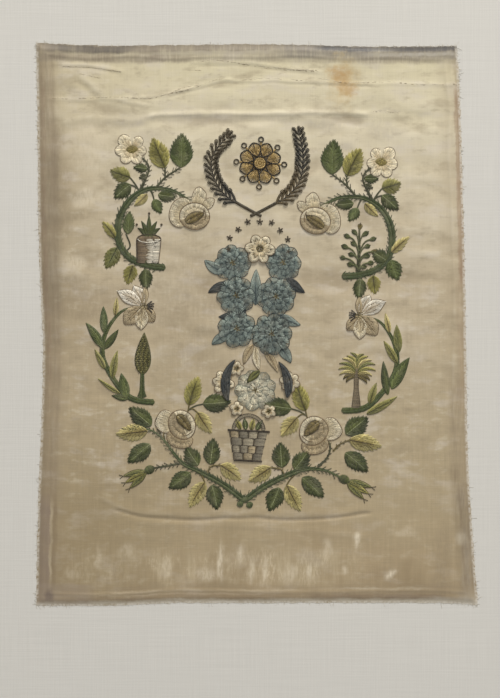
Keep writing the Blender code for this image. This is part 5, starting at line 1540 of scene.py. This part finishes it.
# Stains along each edge: the depths from it between which one lies and how soft they are, where along the
# edge it starts and ends and how softly, its share, how patchy it is and its 8-bit colour
Margin = namedtuple("Margin", "near_mm far_mm soft_mm start_mm end_mm end_soft_mm share patchy colour")
MARGINS = {
    "from_left": (
        (0, 16, 5.0, -210, 210, 5, 0.42, 0.3, (156, 139, 112)),
        (2.2, 12.5, 1.8, -210, 190, 5, 0.46, 0.4, (136, 119, 97)),
        (2.2, 15.0, 3.0, 0, 120, 20, 0.46, 0.4, (134, 121, 98)),
        (9.0, 14.5, 1.2, 90, 130, 12, 0.40, 0.4, (136, 120, 98)),
        (2.2, 5.8, 0.8, -60, 180, 30, 0.26, 0.8, (136, 108, 88)),
        (1.5, 9.0, 1.0, -190, -122, 8, 0.55, 0.4, (146, 129, 114)),
        (8.8, 10.6, 0.6, -180, -126, 8, 0.55, 0.7, (196, 180, 148)),
        (10.5, 13.5, 1.0, -190, -120, 8, 0.45, 0.5, (134, 115, 84)),
    ),
    "from_right": (
        (0, 14, 6.0, -210, 210, 5, 0.30, 0.3, (172, 155, 126)),
        (0.3, 4.4, 0.9, 30, 165, 6, 0.62, 0.5, (146, 116, 92)),
        (0.3, 6.0, 2.0, -60, 34, 8, 0.40, 0.9, (154, 128, 102)),
        (0.3, 12.0, 3.0, -120, -38, 10, 0.42, 0.7, (146, 128, 104)),
        (1.0, 9.0, 1.6, -184, -112, 8, 0.60, 0.6, (122, 108, 90)),
        (6.5, 13.0, 1.5, -190, -100, 8, 0.34, 0.5, (136, 118, 90)),
        (6.0, 11.0, 3.5, -152, -146, 5, 0.60, 0.9, (208, 196, 172)),
        (0, 12.0, 3.0, -210, -188, 5, 0.60, 0.6, (190, 180, 160)),
    ),
    "from_top": (
        (0, 12.4, 1.4, -160, 160, 5, 0.52, 0.5, (152, 140, 120)),
        (0.0, 5.0, 1.2, -160, 160, 5, 0.55, 0.6, (138, 126, 110)),
        (0.0, 11.5, 1.6, -145, 14, 12, 0.34, 0.6, (132, 122, 108)),
        (0.2, 5.4, 1.2, -142, -88, 12, 0.80, 0.35, (92, 86, 78)),
        (7.0, 11.6, 1.0, -150, -54, 12, 0.55, 0.7, (134, 119, 100)),
        (0.6, 5.0, 1.2, -88, 40, 20, 0.40, 1.0, (128, 116, 100)),
        (4.6, 7.2, 0.8, -60, 60, 20, 0.45, 1.0, (204, 194, 172)),
        (0.0, 9.6, 1.5, 14, 150, 10, 0.80, 0.5, (134, 126, 114)),
        (0.2, 3.4, 1.1, 42, 142, 6, 0.90, 0.25, (76, 73, 70)),
        (4.6, 6.8, 0.8, 76, 140, 10, 0.55, 0.9, (208, 200, 184)),
        (7.4, 11.8, 1.0, 40, 130, 8, 0.34, 0.8, (146, 132, 108)),
    ),
    "from_bottom": (
        (0, 12.5, 1.6, -160, 160, 5, 0.28, 0.4, (152, 134, 108)),
        (2.2, 6.4, 1.0, 38, 132, 6, 0.56, 0.5, (122, 103, 82)),
        (2.2, 6.4, 1.0, -84, 38, 8, 0.22, 0.8, (128, 106, 82)),
        (2.2, 5.4, 0.9, -160, -84, 8, 0.34, 0.8, (124, 106, 88)),
        (8.4, 9.8, 0.7, -120, 30, 12, 0.42, 1.0, (206, 190, 160)),
        (6.2, 7.4, 0.6, -140, 10, 12, 0.40, 1.0, (198, 180, 152)),
        (9.4, 10.8, 0.6, 44, 118, 10, 0.50, 1.0, (206, 194, 168)),
        (0, 3.2, 1.0, -160, 160, 5, 0.78, 0.6, (198, 187, 164)),
        (0, 15.5, 1.2, -160, -116, 5, 0.45, 0.4, (160, 144, 126)),
        (0, 5.0, 1.5, 120, 160, 8, 0.60, 0.6, (190, 180, 160)),
    ),
}


def soiled_margins(tree, x, y):
    """Bands of dust and wear along the edges, with ragged borders, and the pale raw rim."""
    ragged = tree.math("MULTIPLY_ADD", tree.noise((70, 70), 3.0, (5.0, 5.0), 0.6), 3.6 * MM, -1.8 * MM)
    fine = tree.math("MULTIPLY_ADD", tree.noise((600, 600), 2.0, (5.0, 1.0), 0.6), 1.2 * MM, -0.6 * MM)
    ragged = tree.math("ADD", ragged, fine)
    upright = tree.noise((700, 70), 3.0, (2.0, 8.0), 0.65)
    level = tree.noise((70, 700), 3.0, (6.0, 3.0), 0.65)
    patches = tree.noise((50, 50), 3.0, (8.0, 6.0), 0.6)
    for edge, rows in MARGINS.items():
        along = x if edge in ("from_top", "from_bottom") else y
        grain = level if edge == "from_bottom" else upright
        for margin in map(Margin._make, rows):
            distance = tree.math("ADD", tree.attribute(edge), ragged)
            near, far, soft = margin.near_mm * MM, margin.far_mm * MM, margin.soft_mm * MM
            band = tree.ramp(distance, far + soft, far - soft)
            if near:
                band = tree.window(distance, near, far, soft)
            reach = [place * MM for place in (margin.start_mm, margin.end_mm, margin.end_soft_mm)]
            coarse = tree.ramp(grain, 0.30, 0.62, 1 - 0.7 * margin.patchy, 1.0)
            broad = tree.ramp(patches, 0.34, 0.60, 1 - 0.6 * margin.patchy, 1.0)
            band = tree.times(band, tree.window(along, *reach), coarse, broad, margin.share)
            tree.tint(band, srgb(*margin.colour))
    nearest = tree.attribute("from_left")
    for edge in ("from_right", "from_bottom"):
        nearest = tree.math("MINIMUM", nearest, tree.attribute(edge))
    grain = tree.ramp(tree.noise((420, 420), 3.0, (2.0, 8.0), 0.7), 0.36, 0.58)
    tree.tint(tree.times(tree.ramp(nearest, 2.4 * MM, 0.6 * MM), grain, 0.80), srgb(214, 206, 190))


Stain = namedtuple("Stain", "x_mm y_mm radius_x_mm radius_y_mm share colour")
STAINS = tuple(map(Stain._make, (
    (60.5, 170, 12.0, 19.0, 0.50, srgb(204, 178, 126)),
    (57.0, 175.5, 7.0, 6.0, 0.52, srgb(184, 142, 86)),
    (64.0, 164.0, 8.0, 5.5, 0.50, srgb(188, 148, 88)),
    (60.5, 170, 6.0, 6.5, 0.40, srgb(190, 152, 96)),
    (-132, 168, 9.0, 8.0, 0.30, srgb(160, 146, 118)),
    (146, 178, 3.0, 12.0, 0.40, srgb(150, 128, 96)),
    (-146, -190, 4.0, 4.5, 0.60, srgb(112, 98, 88)),
)))


def old_stains(tree):
    """Rust-brown and dusty spots, soft at their rims."""
    blur = tree.math("MULTIPLY_ADD", tree.noise((150, 150), 4.0, (9.0, 1.0), 0.65), 2.2, -1.1)
    for stain in STAINS:
        scale = (1 / (stain.radius_x_mm * MM), 1 / (stain.radius_y_mm * MM), 0.0)
        shift = (-stain.x_mm / stain.radius_x_mm, -stain.y_mm / stain.radius_y_mm, 0.0)
        spot = tree.add("VectorMath", {0: tree.scaled(scale, shift)}, operation="LENGTH").outputs["Value"]
        tree.tint(tree.ramp(tree.math("ADD", spot, blur), 1.25, 0.25, 0.0, stain.share), stain.colour)


def thread_material(name, roughness, metallic, sheen, twist, strength):
    """Thread: its colour varies along each stitch, and fine fibres run round it at the twist's angle."""
    tree = Tree(name)
    tree.colour = tree.add("Attribute", attribute_name="thread_colour").outputs["Color"]
    tree.tint(tree.ramp(tree.noise((160, 160, 160), 3.0), 0.45, 0.75, 0.0, 0.14), srgb(176, 164, 138))
    tree.shade(tree.ramp(tree.noise((1400, 1400, 1400)), 0.3, 0.7, 0.82, 1.14))
    place = tree.add("UVMap", uv_map="thread").outputs["UV"]
    turned = tree.add("Mapping", {"Vector": place, "Scale": twist}).outputs[0]
    fibres = tree.add("TexWave", {"Vector": turned, "Scale": 1.0, "Distortion": 1.2, "Detail": 1.0},
                      wave_type="BANDS", bands_direction="DIAGONAL").outputs["Fac"]
    levels = {"Roughness": roughness, "Metallic": metallic, "Sheen Weight": sheen}
    return tree.finish(fibres, strength, 0.08 * MM, levels)


def floor_material():
    """A plain pale woven ground."""
    tree = Tree("floor_paint")
    tree.colour = srgb(216, 212, 202)
    warp, weft, cloud = tree.noise((900, 24)), tree.noise((24, 900)), tree.noise((3, 3))
    shade = tree.math("ADD", tree.math("MULTIPLY_ADD", warp, 0.10, 0.90), tree.math("MULTIPLY", weft, 0.10))
    tree.shade(tree.math("ADD", shade, tree.math("MULTIPLY_ADD", cloud, 0.06, -0.03)))
    return tree.finish(tree.math("ADD", warp, weft), 0.3, 0.2 * MM, {"Roughness": 0.9})


Lamp = namedtuple("Lamp", "name place size power colour")
LAMPS = (
    Lamp("key_light", (0.85, 3.15, 1.66), 1.0, 138.0, (1.0, 0.985, 0.965)),
    Lamp("fill_light", (0.6, -1.6, 3.0), 2.0, 12.0, (1.0, 0.99, 0.98)),
)


def floor_and_light():
    """A floor, a low key light beyond the panel's head, a weak fill and even light all round."""
    floor = new_object("floor", [(-3, -3, 0), (3, -3, 0), (3, 3, 0), (-3, 3, 0)], [(0, 1, 2, 3)],
                       smooth=False)
    floor.location.z = -0.00002
    floor.data.materials.append(floor_material())
    for row in LAMPS:
        light = bpy.data.lights.new(row.name, "AREA")
        light.size = row.size
        light.energy = row.power
        light.color = row.colour
        lamp = bpy.data.objects.new(row.name, light)
        lamp.location = row.place
        lamp.rotation_euler = (-lamp.location).to_track_quat("-Z", "Y").to_euler()
        bpy.context.scene.collection.objects.link(lamp)
    world = bpy.data.worlds.new("studio")
    world.use_nodes = True
    world.node_tree.nodes["Background"].inputs["Color"].default_value = (0.96, 0.97, 1.0, 1)
    world.node_tree.nodes["Background"].inputs["Strength"].default_value = 0.355
    bpy.context.scene.world = world
    bpy.context.scene.view_settings.view_transform = "Standard"


def camera():
    lens = bpy.data.cameras.new("camera")
    lens.sensor_width = SENSOR_MM
    lens.lens = SENSOR_MM * CAMERA_HEIGHT / VIEW_HEIGHT
    eye = bpy.data.objects.new("camera", lens)
    eye.location = (*VIEW_CENTRE, CAMERA_HEIGHT)
    bpy.context.scene.collection.objects.link(eye)
    bpy.context.scene.camera = eye


def crease_shade_lines():
    """Painted shadow and highlight along the sharp creases, as fine threads: dark ones on each crease, and
    pale ones just above some of them.
    """
    random = np.random.default_rng(51)
    rows = []
    for split in CREASE_SHADE_LINES:
        path = smooth_curve(split.points_mm, 12 * len(split.points_mm))
        for start, end in zip(path[:-1], path[1:]):
            wobble = random.normal(0, 0.10, 4)
            first, last = start + wobble[:2], end + wobble[2:]
            dark = srgb(150, 130, 98) * random.uniform(0.85, 1.25)
            pale = srgb(220, 208, 180) * random.uniform(0.85, 1.05)
            # Dark threads: painted shadow along the crease
            if random.uniform() < split.dark:
                rows.append((*first, *last, random.uniform(0.12, 0.28), 0.0, 2.0, *dark, *dark))
            # Pale threads just above: painted highlight on the crease's lit side
            if random.uniform() < 0.4:
                above = (0, 0.5)
                rows.append((*(first + above), *(last + above), 0.26, 0.0, 2.0, *pale, *pale))
    return rows


METAL_PIECES = ("metal_thread", "metal_beads", "gold_thread")
work = work_embroidery()
ends = np.concatenate([np.array(rows)[:, :4].reshape(-1, 2) for rows in work.values()])
padding.gather(on_cloth(ends))

sheet = satin_sheet()
sheet.data.materials.append(satin_material())
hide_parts("silk_panel")
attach(sheet, "root")

silk = thread_material("embroidery_silk", 0.5, 0.0, 0.12, (5.0, 3.0, 1.0), 0.5)
metal = thread_material("metal_thread", 0.40, 0.35, 0.0, (1.0, 7.0, 1.0), 0.4)
threads = []
for piece_name, stitches in work.items():
    piece = thread_piece(piece_name, stitches)
    is_metal = piece_name in METAL_PIECES
    piece.data.materials.append(metal if is_metal else silk)
    threads.append(piece)
# Frayed threads at the edges, and threads of painted shadow and highlight along the creases
loose = [thread_piece("frayed_threads", edge_threads(), "ground"),
         thread_piece("painted_crease_shade", crease_shade_lines(), "cloth")]
for piece in loose:
    piece.data.materials.append(silk)
    threads.append(piece)
for piece in threads:
    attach(piece, "root")

floor_and_light()
camera()
